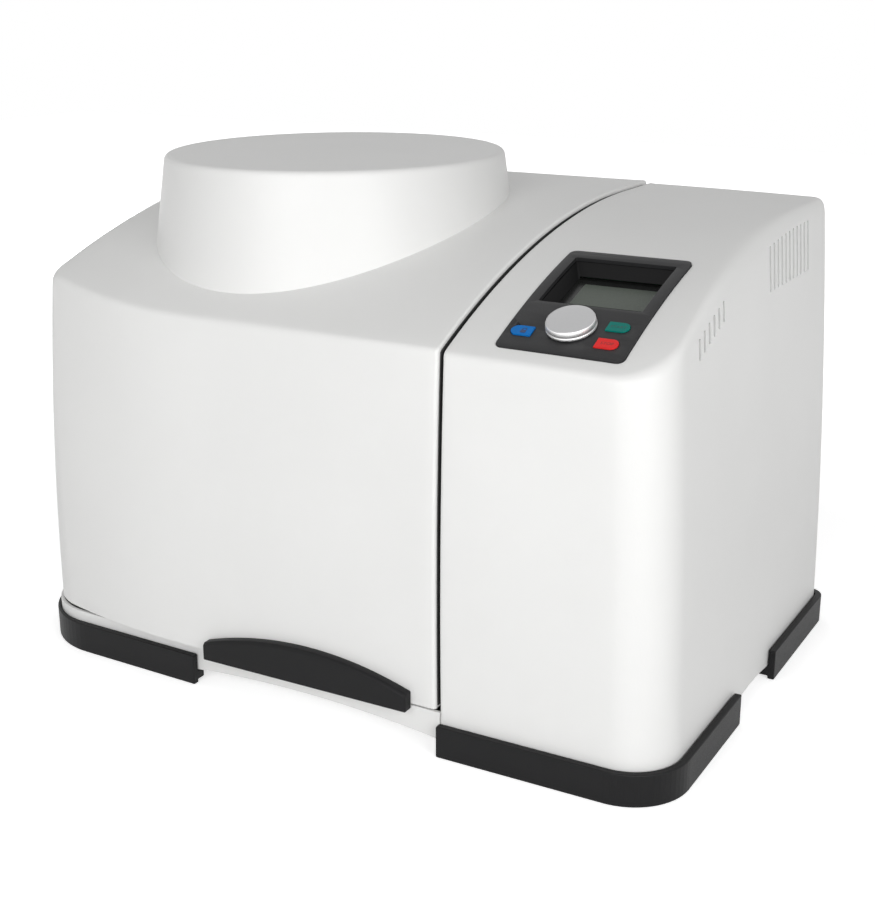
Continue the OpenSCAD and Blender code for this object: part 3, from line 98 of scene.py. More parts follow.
# Vent slots: a long row behind, a short row in front
VENT_PITCH, VENT_HALF, VENT_CORNER, VENT_X = 10.4, 2.1, 1.4, (248, 320)
LONG_VENTS, LONG_START, LONG_LOW, LONG_HIGH = 11, 36, 341, 383
SHORT_VENTS, SHORT_START, SHORT_DOWN, SHORT_LONG = 6, -128, 15.8, 15.5
# Black strip in the seam, painted shade in the gap between hood and tower
STRIP_IN, STRIP_WIDE, STRIP_LOW = 3.6, 10.0, 40.0
# Knob, screen and print on the keys, along the slope from the panel's middle
# The knob's last value is the height up to which its side gets the painted highlight
KNOB_X, KNOB_S, KNOB_LIFT, KNOB_HIGHLIGHT_TOP = 207.5, -40, 0.5, 7.0
SCREEN_X, SCREEN_S = 212.0, 21
SCREEN_LOW, SCREEN_HIGH = -12.9, -12.7
WORD_SIZE, WORD_LIFT, WORD_DEPTH_M = 4.1, 0.8, 0.00006

# Steps along the outlines: corners, the swept front left side, straights between
SMALL_STEPS, REAR_STEPS, FRONT_STEPS, SWEEP_STEPS = 5, 14, 20, 18
TOWER_STRAIGHTS, HOOD_STRAIGHTS = [24, 48, 24, 60], [56, 56, 44, 34]
# Rows up the walls and over the edges, outside and inside
OUTER_ROWS, INNER_ROWS = (22, 6), (6, 2)
# Rows on the dome's flat top, close together at the rim so that it shades flat
RIM_ROWS = (0.01, 0.03, 0.5, 0.9)
EDGE_GUESS, EDGE_ROUNDS = 380.0, 6

# Bevels in millimetres on the solids that stay in view
BEVELS = {
    "foot_front_right": 1.0,
    "foot_rear_right": 1.0,
    "foot_rear_left": 1.0,
    "foot_front_left": 1.0,
    "hood_handle": 0.8,
    "control_panel": 0.35,
    "base_tray": 0.6,
    "start_button": 0.3,
    "stop_button": 0.3,
    "open_button": 0.3,
}
BEVEL_STEPS, BEVEL_ANGLE, WELD_M = 2, 35, 0.00002

# Camera solved from the photo, in metres
EYE, AIM = (0.6334, -1.1129, 0.5813), (0.01143, 0, 0.16532)
LENS, SENSOR, CLIP_END = 58.47, 36.0, 20
# Light: what lamps point at, and how much of the white world reaches the object
LAMP_AIM, WORLD_LEVEL = (0, 0, 0.2), 0.26
# Floor: half size, and where its white glow for the camera starts and ends
FLOOR_HALF, GLOW_NEAR, GLOW_FAR = 4, (0.55, 0.6), (1.3, 1.1)


# Surface formulas of the casing


def arc_z(y):
    y = np.asarray(y, float)
    low = FLAT_Z - ARC_R + np.sqrt(ARC_R**2 - np.minimum(y - ARC_Y, 0) ** 2)
    return np.where(y >= ARC_Y, FLAT_Z, low)


def top_at(x, y, side):
    return arc_z(y) - side * (STEP + CROWN * ((x - TOWER_LEFT) / (BODY_X - TOWER_LEFT)) ** 2)


def lean(z, slope):
    rise = np.maximum(0, z - LEAN_Z)
    return slope * rise + rise**2 / LEAN_FLAT


def belly(z):
    return (z - BELLY_Z) ** 2 / BELLY_FLAT


def wall_at(p, z, side):
    """Points of the outline p at height z; side is 0 for the hood, 1 for the tower."""
    x, y = p[:, 0], p[:, 1]
    z = np.broadcast_to(np.asarray(z, float), x.shape)
    if side:
        x = x - lean(z, TOWER_LEAN) * (x - TOWER_LEFT) / (BODY_X - TOWER_LEFT)
    else:
        t = np.clip((z - HOOD_BOTTOM) / (CORNER_TOP - HOOD_BOTTOM), 0, 1)
        x, y = x + (p[:, 3] - x) * t, y + (p[:, 4] - y) * t
        x = x + lean(z, HOOD_LEAN) * np.maximum(0, (SUN[0] - x) / (SUN[0] + BODY_X))
    return np.stack([x, y + belly(z) * np.maximum(0, -y / FRONT_Y), z], 1)


def edge_z(p, side, inset):
    z = np.full(len(p), EDGE_GUESS)
    for _ in range(EDGE_ROUNDS):
        w = wall_at(p, z, side)
        z = top_at(w[:, 0], w[:, 1], side) - inset
    return z


def corner(x, y, sx, sy, r, a0, steps, e0, e1):
    """Quarter circle in the corner (x, y); the third value is the top rounding, e0 to e1."""
    t = np.linspace(0, 1, steps + 1)
    a = np.radians(a0 + 90 * t)
    px, py = x - sx * r + r * np.cos(a), y - sy * r + r * np.sin(a)
    return np.stack([px, py, e0 + (e1 - e0) * t], 1)


def joined(parts, gaps):
    """One closed outline: the parts, with gaps[k] straight steps after part k."""
    rows = []
    for k, part in enumerate(parts):
        rows.append(part)
        t = np.linspace(0, 1, gaps[k] + 1)[1:-1, None]
        after = parts[(k + 1) % len(parts)][0]
        rows.append(part[-1] + (after - part[-1]) * t)
    return np.concatenate(rows)


def small_radii(inset):
    return max(SEAM_R - inset, LEAST_CORNER), max(REAR_CORNER - inset, LEAST_CORNER)


def tower_outline(inset):
    small, rear_r = small_radii(inset)
    left, right = TOWER_LEFT + inset, BODY_X - inset
    front, rear = inset - FRONT_Y, BODY_Y - inset
    return joined(
        [
            corner(left, front, -1, -1, small, 180, SMALL_STEPS, SEAM_R, FRONT_R),
            corner(right, front, 1, -1, RIGHT_CORNER - inset, -90, FRONT_STEPS, FRONT_R, SIDE_R),
            corner(right, rear, 1, 1, rear_r, 0, REAR_STEPS, SIDE_R, REAR_R),
            corner(left, rear, -1, 1, small, 90, SMALL_STEPS, REAR_R, SEAM_R),
        ],
        TOWER_STRAIGHTS,
    )


def hood_plan(inset, left_r):
    """The hood seen from above: its front runs in a wide sweep into the front left corner."""
    small, rear_r = small_radii(inset)
    left, right = inset - BODY_X, HOOD_RIGHT - inset
    front, rear = inset - FRONT_Y, BODY_Y - inset
    turn = math.asin((SWEEP_X + BODY_X - left_r) / (SWEEP_R - left_r))
    t = np.linspace(0, 1, SWEEP_STEPS + 1)
    a = np.pi + (np.pi / 2 - turn) * t
    cx, cy = left_r - BODY_X, SWEEP_R - FRONT_Y - (SWEEP_R - left_r) * math.cos(turn)
    r = left_r - inset
    edge = SIDE_R + (FRONT_R - SIDE_R) * t
    left_corner = np.stack([cx + r * np.cos(a), cy + r * np.sin(a), edge], 1)
    t = t[1:]
    a = 1.5 * np.pi - turn * (1 - t)
    r = SWEEP_R - inset
    px, py = SWEEP_X + r * np.cos(a), SWEEP_R - FRONT_Y + r * np.sin(a)
    sweep = np.stack([px, py, t * 0 + FRONT_R], 1)
    return joined(
        [
            corner(right, front, 1, -1, small, -90, SMALL_STEPS, FRONT_R, SEAM_R),
            corner(right, rear, 1, 1, small, 0, SMALL_STEPS, SEAM_R, REAR_R),
            corner(left, rear, -1, 1, rear_r, 90, REAR_STEPS, REAR_R, SIDE_R),
            np.concatenate([left_corner, sweep]),
        ],
        HOOD_STRAIGHTS,
    )


def hood_outline(inset):
    high = hood_plan(inset, LEFT_CORNER_HIGH)
    return np.column_stack([hood_plan(inset, LEFT_CORNER_LOW), high[:, :2]])


def edge_point(p, mid, side, inset, t):
    """The rounding between wall and top, from t = 0 on the wall to t = 1 on the top."""
    r = np.maximum(p[:, 2] - inset, LEAST_EDGE)
    ze = edge_z(p, side, inset)
    a, b = wall_at(p, ze - r, side), wall_at(p, ze, side)
    d = mid - b[:, :2]
    q = b[:, :2] + d * (r / np.linalg.norm(d, axis=1))[:, None]
    c = np.column_stack([q, top_at(q[:, 0], q[:, 1], side) - inset])
    return a * (1 - t) ** 2 + b * 2 * t * (1 - t) + c * t**2


def oval(u, z, inset):
    grow = (DOME_TOP - z) * DOME_TAPER - inset
    return 1 / np.hypot(u[:, 0] / (DOME[0] + grow), u[:, 1] / (DOME[1] + grow))


def dome_at(u, z, inset):
    z = np.broadcast_to(np.asarray(z, float), u[:, 0].shape)
    return np.column_stack([SUN + u * oval(u, z, inset)[:, None], z])


def dome_foot(u, inset):
    z = np.full(len(u), EDGE_GUESS)
    for _ in range(EDGE_ROUNDS):
        z = arc_z(SUN[1] + u[:, 1] * oval(u, z, inset)) - inset
    return z


def wall_rings(outline, side, inset, z0, mid, walls):
    top = edge_point(outline, mid, side, inset, 0.0)[:, 2]
    return [wall_at(outline, z0 + (top - z0) * k / walls, side) for k in range(walls)]


def hood_rings(inset, z0, walls, fine):
    o, mid = hood_outline(inset), SUN
    rings = wall_rings(o, 0, inset, z0, mid, walls)
    rings += [edge_point(o, mid, 0, inset, t) for t in np.linspace(0, 1, fine + 1)]
    edge = rings[-1][:, :2]
    u = (edge - mid) / np.linalg.norm(edge - mid, axis=1)[:, None]
    foot = dome_at(u, dome_foot(u, inset), inset)
    for t in np.linspace(0, 1, fine + 4)[1:]:
        q = edge + (foot[:, :2] - edge) * t
        rings.append(np.column_stack([q, arc_z(q[:, 1]) - inset]))
    r = max(DOME_EDGE - inset, LEAST_EDGE)
    top = DOME_TOP - inset
    for t in np.linspace(0, 1, 5)[1:]:
        rings.append(dome_at(u, foot[:, 2] + (top - r - foot[:, 2]) * t, inset))
    a, b = dome_at(u, top - r, inset), dome_at(u, top, inset)
    c = np.column_stack([b[:, :2] - u * r, np.full(len(u), top)])
    for t in np.linspace(0, 1, fine + 1)[1:]:
        rings.append(a * (1 - t) ** 2 + b * 2 * t * (1 - t) + c * t**2)
    for t in RIM_ROWS:
        rings.append(np.column_stack([c[:, :2] + (mid - c[:, :2]) * t, c[:, 2]]))
    return rings


def tower_rings(inset, z0, walls, fine):
    o, mid = tower_outline(inset), np.array([(TOWER_LEFT + BODY_X) / 2, 0])
    rings = wall_rings(o, 1, inset, z0, mid, walls)
    rings += [edge_point(o, mid, 1, inset, t) for t in np.linspace(0, 1, fine + 1)]
    edge = rings[-1][:, :2]
    for t in np.append(np.linspace(0, 1, fine + 6)[1:-1], 0.97):
        q = edge + (mid - edge) * t
        rings.append(np.column_stack([q, top_at(q[:, 0], q[:, 1], 1) - inset]))
    return rings


# Mesh tools


def make(name, verts, faces, scale=MM):
    mesh = bpy.data.meshes.new(name)
    mesh.from_pydata([tuple(np.asarray(v, float) * scale) for v in verts], [], faces)
    mesh.validate()
    bm = bmesh.new()
    bm.from_mesh(mesh)
    bmesh.ops.recalc_face_normals(bm, faces=bm.faces)
    bm.to_mesh(mesh)
    bm.free()
    obj = bpy.data.objects.new(name, mesh)
    bpy.context.scene.collection.objects.link(obj)
    return obj


def skin(name, rings):
    """Closed surface through rings of equal length, with a fan at each end."""
    n = len(rings[0])
    verts = [p for ring in rings for p in ring]
    verts += [rings[0].mean(0), rings[-1].mean(0)]
    faces = []
    for r in range(len(rings) - 1):
        for k in range(n):
            j = (k + 1) % n
            faces.append((r * n + k, r * n + j, (r + 1) * n + j, (r + 1) * n + k))
    last = (len(rings) - 1) * n
    faces += [(len(verts) - 2, (k + 1) % n, k) for k in range(n)]
    faces += [(len(verts) - 1, last + k, last + (k + 1) % n) for k in range(n)]
    return make(name, verts, faces)


def smooth(obj, angle=32):
    obj.data.polygons.foreach_set("use_smooth", [True] * len(obj.data.polygons))
    obj.data.set_sharp_from_angle(angle=math.radians(angle))


def box(name, lo, hi):
    v = [(x, y, z) for z in (lo[2], hi[2]) for y in (lo[1], hi[1]) for x in (lo[0], hi[0])]
    f = [(0, 2, 3, 1), (4, 5, 7, 6), (0, 1, 5, 4), (1, 3, 7, 5), (3, 2, 6, 7), (2, 0, 4, 6)]
    return make(name, v, f)


def prism(name, plan, low, high, m):
    n = len(plan)
    verts = [tuple(m @ Vector((x, y, low))) for x, y in plan]
    verts += [tuple(m @ Vector((x, y, high))) for x, y in plan]
    faces = [tuple(range(n))[::-1], tuple(range(n, 2 * n))]
    faces += [(k, (k + 1) % n, n + (k + 1) % n, n + k) for k in range(n)]
    return make(name, verts, faces)


def rounded(x0, x1, y0, y1, r, steps=8):
    out = []
    for sx, sy, a0 in ((1, -1, -90), (1, 1, 0), (-1, 1, 90), (-1, -1, 180)):
        cx, cy = (x1 if sx > 0 else x0) - sx * r, (y1 if sy > 0 else y0) - sy * r
        for k in range(steps + 1):
            a = math.radians(a0 + 90 * k / steps)
            out.append((cx + r * math.cos(a), cy + r * math.sin(a)))
    return out


def cut(obj, cutters, keep=False):
    for tool in cutters:
        mod = obj.modifiers.new("cut", "BOOLEAN")
        mod.operation = "INTERSECT" if keep else "DIFFERENCE"
        mod.solver = "EXACT"
        mod.object = tool
    graph = bpy.context.evaluated_depsgraph_get()
    data = bpy.data.meshes.new_from_object(obj.evaluated_get(graph))
    obj.modifiers.clear()
    obj.data = data
    for tool in cutters:
        bpy.data.objects.remove(tool)
    return obj


def on_slope(x, s=0.0):
    """Frame on the tower's slope: s runs up the slope from the panel's middle."""
    angle = math.asin((ARC_Y - PANEL_Y) / ARC_R) - s / ARC_R
    return (
        Matrix.Translation((0, ARC_Y, FLAT_Z - STEP - ARC_R))
        @ Matrix.Rotation(angle, 4, "X")
        @ Matrix.Translation((x, 0, ARC_R))
    )


# Materials


def noise_at(tree, coord, scale, detail, stretch):
    mapping = tree.nodes.new("ShaderNodeMapping")
    mapping.inputs["Scale"].default_value = stretch
    tree.links.new(coord, mapping.inputs["Vector"])
    tex = tree.nodes.new("ShaderNodeTexNoise")
    tex.inputs["Scale"].default_value = scale
    tex.inputs["Detail"].default_value = detail
    tree.links.new(mapping.outputs["Vector"], tex.inputs["Vector"])
    return tex.outputs["Fac"]


def spread(tree, value, low, high):
    node = tree.nodes.new("ShaderNodeMapRange")
    node.inputs["From Min"].default_value = 0.3
    node.inputs["From Max"].default_value = 0.7
    node.inputs["To Min"].default_value = low
    node.inputs["To Max"].default_value = high
    tree.links.new(value, node.inputs["Value"])
    return node.outputs["Result"]


def material(
    name, color, rough, metal=0.0, grain=900, depth=0.00005, bump=0.4, tint=0.03,
    stretch=(1, 1, 1), vary=0.05, patch=9.0, specular=0.5,
):
    """Paint, plastic or metal with a fine grain and a faint change of colour in patches."""
    mat = bpy.data.materials.new(name)
    mat.use_nodes = True
    tree = mat.node_tree
    shader = tree.nodes["Principled BSDF"]
    coord = tree.nodes.new("ShaderNodeTexCoord").outputs["Object"]
    mix = tree.nodes.new("ShaderNodeMix")
    mix.data_type = "RGBA"
    mix.inputs["A"].default_value = [c * (1 - tint) for c in color] + [1]
    mix.inputs["B"].default_value = [min(1, c * (1 + tint)) for c in color] + [1]
    patches = spread(tree, noise_at(tree, coord, patch, 3, stretch), 0, 1)
    tree.links.new(patches, mix.inputs["Factor"])
    tree.links.new(mix.outputs["Result"], shader.inputs["Base Color"])
    fine = noise_at(tree, coord, grain, 2, stretch)
    tree.links.new(spread(tree, fine, rough - vary, rough + vary), shader.inputs["Roughness"])
    node = tree.nodes.new("ShaderNodeBump")
    node.inputs["Strength"].default_value = bump
    node.inputs["Distance"].default_value = depth
    tree.links.new(fine, node.inputs["Height"])
    tree.links.new(node.outputs["Normal"], shader.inputs["Normal"])
    shader.inputs["Metallic"].default_value = metal
    shader.inputs["Specular IOR Level"].default_value = specular
    return mat


# Material slots: colour, roughness, other values of material()
LOOKS = {
    "white_paint": (
        (0.80, 0.80, 0.79), 0.46, dict(grain=620, depth=0.00012, bump=0.35, tint=0.012)
    ),
    "black_plastic": (
        (0.006, 0.006, 0.0065), 0.5, dict(grain=1300, bump=0.25, tint=0.1, specular=0.2)
    ),
    "black_rubber": ((0.02, 0.02, 0.02), 0.75, dict(grain=700, bump=0.5, tint=0.12)),
    "bright_steel": (
        (0.47, 0.475, 0.48), 0.40, dict(metal=1.0, grain=400, bump=0.15, stretch=(1, 1, 9))
    ),
    "cast_metal": (
        (0.16, 0.17, 0.18), 0.55, dict(metal=0.3, grain=350, depth=0.0003, bump=0.5)
    ),
    "machined_aluminium": (
        (0.58, 0.58, 0.59), 0.38, dict(metal=1.0, grain=500, bump=0.12, stretch=(1, 1, 8))
    ),
    "dark_plastic": (
        (0.019, 0.019, 0.020), 0.5, dict(grain=1500, bump=0.2, tint=0.06, specular=0.25)
    ),
    "grey_glass": (
        (0.008, 0.0085, 0.008), 0.2,
        dict(grain=60, bump=0.02, tint=0.05, vary=0.02, specular=0.3),
    ),
    "green_board": (
        (0.02, 0.17, 0.07), 0.4, dict(grain=300, bump=0.3, tint=0.2, patch=120)
    ),
    "teal_plastic": (
        (0.0, 0.17, 0.14), 0.45, dict(grain=1200, bump=0.1, tint=0.05, specular=0.15)
    ),
    "red_plastic": (
        (0.76, 0.025, 0.025), 0.45, dict(grain=1200, bump=0.1, tint=0.05, specular=0.2)
    ),
    "blue_plastic": (
        (0.002, 0.16, 0.52), 0.45, dict(grain=1200, bump=0.1, tint=0.05, specular=0.15)
    ),
    "green_switch": ((0.01, 0.25, 0.05), 0.3, dict(grain=1200, bump=0.1, tint=0.05)),
    "liner_foam": (
        (0.24, 0.25, 0.26), 0.9, dict(grain=260, depth=0.0006, bump=0.8, tint=0.15)
    ),
}
SLOTS = {
    name: material(name, color, rough, **rest) for name, (color, rough, rest) in LOOKS.items()
}


def dress_nodes():
    """Every solid gets the material of its slot; the screen's recess gets a blacker plastic as
    painted shade.
    """
    for entry in frame["record"]["subparts"]:
        obj = nodes[entry["node"]]
        obj.data.materials.clear()
        obj.data.materials.append(SLOTS[entry["material_slot"]])
    # Near-black copy of black plastic on the display bezel: painted shade in the screen's recess
    recess = material(
        "painted_recess_shade", (0.004, 0.004, 0.0042), 0.6,
        grain=1500, bump=0.15, tint=0.06, specular=0.15,
    )
    nodes["display_bezel"].data.materials[0] = recess


def piece(obj, body, slot, *replaced):
    obj.data.materials.clear()
    obj.data.materials.append(SLOTS[slot])
    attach(obj, body)
    if replaced:
        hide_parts(*replaced)
    return obj


# Casings


def hood_skin(name):
    outer = hood_rings(0.0, HOOD_BOTTOM, *OUTER_ROWS)
    inner = hood_rings(WALL, HOOD_BOTTOM, *INNER_ROWS)
    return skin(name, inner[::-1] + outer)


def along_x(outline, x, y, z):
    """Cutter from x[0] to x[1]; the outline lies in the plane across X, around (y, z)."""
    turn = Matrix(((0, 0, 1, 0), (1, 0, 0, y), (0, 1, 0, z), (0, 0, 0, 1)))
    return prism("cutter", outline, x[0], x[1], turn)


def round_hole(radius, x, y, z, steps=48):
    angles = np.linspace(0, 2 * math.pi, steps + 1)[:-1]
    return along_x([(radius * math.sin(a), radius * math.cos(a)) for a in angles], x, y, z)


def hood():
    obj = hood_skin("hood_casing")
    wall = (HOOD_RIGHT - 10, HOOD_RIGHT + 5)
    rear = box("cutter", (-400, COVER_Y - GAP, -10), (SEAM_X, 300, COVER_TOP + GAP))
    belt = box(
        "cutter", (wall[0], HOOD_BELT_FRONT, -10), (wall[1], COVER_Y + 5, HOOD_BELT_HIGH)
    )
    cut(obj, [rear, belt, round_hole(BOLT_R + HOOD_PASS, wall, LATCH_Y, LATCH_Z)])
    smooth(obj)
    piece(obj, "hood", "white_paint", "hood_shell")


def rear_cover():
    obj = hood_skin("rear_casing")
    cut(obj, [box("cutter", (-400, COVER_Y, -10), (SEAM_X, 300, COVER_TOP))], keep=True)
    smooth(obj)
    piece(obj, "base", "white_paint", "rear_cover")


def vent(y, low, high):
    return along_x(rounded(-VENT_HALF, VENT_HALF, low, high, VENT_CORNER, 4), VENT_X, y, 0)


def vents():
    tools = []
    for k in range(LONG_VENTS):
        y = LONG_START + k * VENT_PITCH
        tools.append(vent(y, LONG_LOW, LONG_HIGH - (FLAT_Z - float(arc_z(y)))))
    for k in range(SHORT_VENTS):
        y = SHORT_START + k * VENT_PITCH
        high = float(arc_z(y)) - SHORT_DOWN
        tools.append(vent(y, high - SHORT_LONG, high))
    return tools


def tower():
    outer = tower_rings(0.0, BASE_LOW, *OUTER_ROWS)
    inner = tower_rings(WALL, BASE_LOW, *INNER_ROWS)
    obj = skin("tower_casing", inner[::-1] + outer)
    opening = rounded(-PANEL_HALF_X, PANEL_HALF_X, -PANEL_HALF_Y, PANEL_HALF_Y, PANEL_CORNER)
    tools = [prism("cutter", opening, -40, 40, on_slope(PANEL_X))]
    tools += vents()
    tools.append(box("cutter", *REAR_OPENING))
    tools.append(box("cutter", (PASS_X[0], BELT_FRONT, -10), (PASS_X[1], 120, BELT_HIGH)))
    tools.append(box("cutter", (PASS_X[0], -TRAY_Y, -10), (PASS_X[1], TRAY_Y, TRAY_HIGH)))
    radius = (ARCH_HALF**2 + ARCH_RISE**2) / (2 * ARCH_RISE)
    centre = BASE_LOW + ARCH_RISE - radius
    tools.append(round_hole(radius, (-400, 400), ARCH_Y, centre, 360))
    tools.append(round_hole(BOLT_R + PASS, PASS_X, LATCH_Y, LATCH_Z))
    cut(obj, tools)
    smooth(obj)
    piece(obj, "base", "white_paint", "tower_shell")


def seam_profile(inset, low):
    """Line up the front and over the top of the hood's right wall, inset from its edge."""
    high = float(arc_z(inset + 6 - FRONT_Y)) - inset
    heights = np.linspace(low, high - 1.5, 40)
    front = [(-FRONT_Y + float(belly(v)) + inset, v) for v in heights]
    y = np.linspace(front[-1][0] + 1.5, BODY_Y - 12, 60)
    return front + [(v, float(arc_z(v)) - inset) for v in y]


# Black strip on the hood's right wall inside the seam: painted shade in the gap
def seam_shade_strip():
    outer = seam_profile(STRIP_IN, STRIP_LOW)
    inner = seam_profile(STRIP_WIDE, STRIP_LOW)
    turn = Matrix(((0, 0, 1, 0), (1, 0, 0, 0), (0, 1, 0, 0), (0, 0, 0, 1)))
    line = outer + inner[::-1]
    obj = prism("seam_shade_strip", line, HOOD_RIGHT - 0.1, HOOD_RIGHT + 0.9, turn)
    smooth(obj)
    piece(obj, "hood", "black_rubber")


# Control panel


def lathe(name, profile, matrix, steps=96):
    """Solid of revolution of a profile of (radius, height)."""
    rings = []
    for r, z in profile:
        a = np.linspace(0, 2 * np.pi, steps + 1)[:-1]
        rings.append(np.stack([r * np.cos(a), r * np.sin(a), np.full(steps, z)], 1))
    rings = [np.array([tuple(matrix @ Vector(p)) for p in ring]) for ring in rings]
    return skin(name, rings)


def knob():
    """Turned knob: bored underneath, grooved foot, low crown; a brighter aluminium on its side
    is painted highlight, a darker one on the crown painted shade.
    """
    profile = [
        (3.05, 5.5), (3.05, 0), (18.0, 0), (18.4, 0.3), (18.6, 0.8), (18.6, 2.2),
        (18.3, 2.5), (18.3, 2.8), (18.5, 3.1), (18.1, 6.2), (17.8, 6.9), (17.2, 7.4),
        (16.2, 7.75), (13, 8.25), (9, 8.65), (5, 8.9), (1.5, 9.0),
    ]
    m = on_slope(KNOB_X, KNOB_S) @ Matrix.Translation((0, 0, PANEL_OUT + KNOB_LIFT))
    obj = lathe("knob_turned", profile, m)
    smooth(obj, 50)
    piece(obj, "knob", "machined_aluminium", "control_knob")
    # Darker aluminium on the crown is painted shade, brighter aluminium on the side is painted
    # highlight
    crown = material("crown_painted_shade", (0.46, 0.46, 0.465), 0.34, 1.0, grain=500, bump=0.12)
    rim = material("rim_painted_highlight", (0.80, 0.80, 0.80), 0.5, 1.0, grain=500, bump=0.12)
    obj.data.materials[0] = crown
    obj.data.materials.append(rim)
    # Faces low on the knob's side get the painted highlight, the rest the painted shade
    height = m.inverted()
    for face in obj.data.polygons:
        face.material_index = int((height @ (face.center / MM)).z < KNOB_HIGHLIGHT_TOP)


def screen():
    """Thin lit plate behind the display glass."""
    plan = rounded(-30, 33, -10.7, 20, 0.8, 3)
    m = on_slope(SCREEN_X, SCREEN_S)
    obj = prism("display_screen", plan, SCREEN_LOW, SCREEN_HIGH, m)
    smooth(obj)
    green = material(
        "screen_green", (0.072, 0.088, 0.070), 0.3,
        grain=2500, bump=0.05, tint=0.04, specular=0.3,
    )
    obj.data.materials.append(green)
    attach(obj, "base")


def ink(name, color):
    return material(name, color, 0.4, grain=1500, bump=0.05, tint=0.05)


def word(text, body, x, s, mat):
    data = bpy.data.curves.new("word_" + text.lower(), "FONT")
    data.body = text
    data.size = WORD_SIZE * MM
    data.align_x, data.align_y = "CENTER", "CENTER"
    data.extrude = WORD_DEPTH_M
    obj = bpy.data.objects.new("word_" + text.lower(), data)
    bpy.context.scene.collection.objects.link(obj)
    m = on_slope(x, s) @ Matrix.Translation((0, 0, PANEL_OUT + WORD_LIFT))
    obj.matrix_world = Matrix.Translation(m.translation * MM) @ m.to_3x3().to_4x4()
    data.materials.append(mat)
    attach(obj, body)


def padlock():
    """Open padlock printed on the blue key."""
    m = on_slope(173, -50.5) @ Matrix.Translation((1.5, -1.0, 0))
    low, high = PANEL_OUT + 0.75, PANEL_OUT + 0.92
    body = prism("lock_body", rounded(-2.2, 2.2, -2.0, 1.4, 0.5, 4), low, high, m)
    a = np.linspace(math.radians(-10), math.radians(200), 20)
    arc = [(1.9 * math.cos(t) + 0.3, 1.9 * math.sin(t) + 2.1) for t in a]
    arc += [(1.2 * math.cos(t) + 0.3, 1.2 * math.sin(t) + 2.1) for t in a[::-1]]
    bow = prism("lock_bow", arc, low, high, m)
    mat = ink("ink_blue", (0.004, 0.03, 0.12))
    for obj in (body, bow):
        obj.data.materials.append(mat)
        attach(obj, "open_key")


def labels():
    teal = ink("ink_teal", (0.0, 0.045, 0.04))
    word("START", "start_key", 241, -33.7, teal)
    red = ink("ink_red", (0.16, 0.004, 0.004))
    word("STOP", "stop_key", 240.5, -54.2, red)
    padlock()


def soften(name, width):
    obj = nodes[name]
    weld = obj.modifiers.new("weld", "WELD")
    weld.merge_threshold = WELD_M
    bevel = obj.modifiers.new("bevel", "BEVEL")
    bevel.width = width * MM
    bevel.segments = BEVEL_STEPS
    bevel.limit_method = "ANGLE"
    bevel.angle_limit = math.radians(BEVEL_ANGLE)
    bevel.harden_normals = False


# Camera, light and floor


def camera():
    data = bpy.data.cameras.new("camera")
    data.lens = LENS
    data.sensor_width = SENSOR
    data.clip_end = CLIP_END
    obj = bpy.data.objects.new("camera", data)
    bpy.context.scene.collection.objects.link(obj)
    eye, aim = Vector(EYE), Vector(AIM)
    obj.location = eye
    obj.rotation_mode = "QUATERNION"
    obj.rotation_quaternion = (aim - eye).to_track_quat("-Z", "Y")
    bpy.context.scene.camera = obj


def area(name, place, size, power):
    data = bpy.data.lights.new(name, "AREA")
    data.shape = "RECTANGLE"
    data.size, data.size_y = size
    data.energy = power
    obj = bpy.data.objects.new(name, data)
    obj.location = place
    obj.rotation_mode = "QUATERNION"
    obj.rotation_quaternion = (Vector(LAMP_AIM) - Vector(place)).to_track_quat("-Z", "Y")
    obj.visible_camera = False
    bpy.context.scene.collection.objects.link(obj)
    return obj


def seen_directly(tree):
    """1 for what the camera sees, also in gloss and through glass, otherwise 0."""
    path = tree.nodes.new("ShaderNodeLightPath")
    first = tree.nodes.new("ShaderNodeMath")
    first.operation = "MAXIMUM"
    tree.links.new(path.outputs["Is Camera Ray"], first.inputs[0])
    tree.links.new(path.outputs["Is Glossy Ray"], first.inputs[1])
    both = tree.nodes.new("ShaderNodeMath")
    both.operation = "MAXIMUM"
    tree.links.new(first.outputs[0], both.inputs[0])
    tree.links.new(path.outputs["Is Transmission Ray"], both.inputs[1])
    return both.outputs[0]


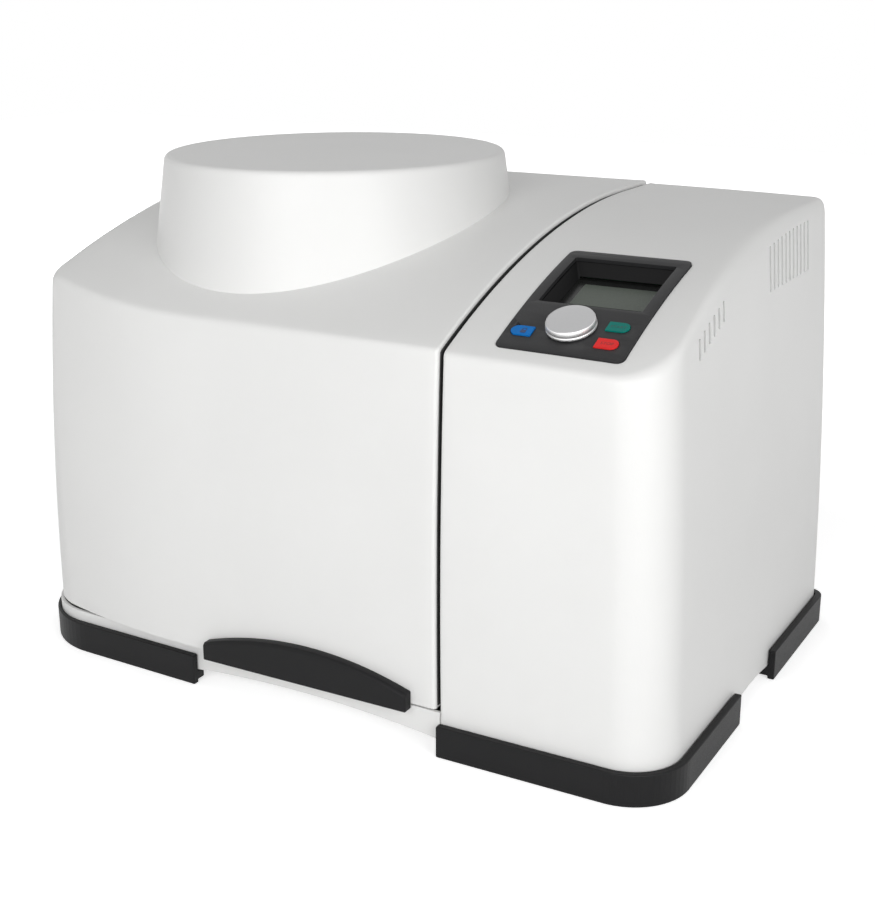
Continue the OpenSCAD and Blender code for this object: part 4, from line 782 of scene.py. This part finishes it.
def world():
    w = bpy.data.worlds.new("studio")
    bpy.context.scene.world = w
    w.use_nodes = True
    tree = w.node_tree
    back = tree.nodes["Background"]
    back.inputs["Color"].default_value = (1, 1, 1, 1)
    amount = tree.nodes.new("ShaderNodeMapRange")
    amount.inputs["To Min"].default_value = WORLD_LEVEL
    amount.inputs["To Max"].default_value = 1.0
    tree.links.new(seen_directly(tree), amount.inputs["Value"])
    tree.links.new(amount.outputs["Result"], back.inputs["Strength"])


def floor():
    h = FLOOR_HALF
    obj = make("floor", [(-h, -h, 0), (h, -h, 0), (h, h, 0), (-h, h, 0)], [(0, 1, 2, 3)], 1.0)
    mat = bpy.data.materials.new("floor")
    mat.use_nodes = True
    tree = mat.node_tree
    shader = tree.nodes["Principled BSDF"]
    shader.inputs["Base Color"].default_value = (0.82, 0.82, 0.82, 1)
    shader.inputs["Roughness"].default_value = 0.9
    shader.inputs["Specular IOR Level"].default_value = 0.1
    shader.inputs["Emission Color"].default_value = (1, 1, 1, 1)
    coord = tree.nodes.new("ShaderNodeTexCoord").outputs["Object"]
    far = tree.nodes.new("ShaderNodeVectorMath")
    far.operation = "LENGTH"
    tree.links.new(coord, far.inputs[0])
    glow = tree.nodes.new("ShaderNodeMapRange")
    glow.inputs["From Min"].default_value = GLOW_NEAR[0]
    glow.inputs["From Max"].default_value = GLOW_FAR[0]
    glow.inputs["To Min"].default_value = GLOW_NEAR[1]
    glow.inputs["To Max"].default_value = GLOW_FAR[1]
    tree.links.new(far.outputs["Value"], glow.inputs["Value"])
    amount = tree.nodes.new("ShaderNodeMath")
    amount.operation = "MULTIPLY"
    tree.links.new(seen_directly(tree), amount.inputs[0])
    tree.links.new(glow.outputs["Result"], amount.inputs[1])
    tree.links.new(amount.outputs[0], shader.inputs["Emission Strength"])
    obj.data.materials.append(mat)


def light():
    area("front", (0.4, -2.85, 1.2), (2.0, 1.5), 40)
    area("right", (1.9, -1.3, 0.9), (1.2, 1.2), 20)
    # Kept out of the gloss, where it would whiten the dome's top
    area("rear", (-2.0, 1.8, 0.6), (2.0, 0.9), 27).visible_glossy = False


camera()
world()
floor()
light()
dress_nodes()
hood()
rear_cover()
tower()
seam_shade_strip()
knob()
screen()
labels()
for name, width in BEVELS.items():
    soften(name, width)
bpy.context.scene.view_settings.view_transform = "Standard"
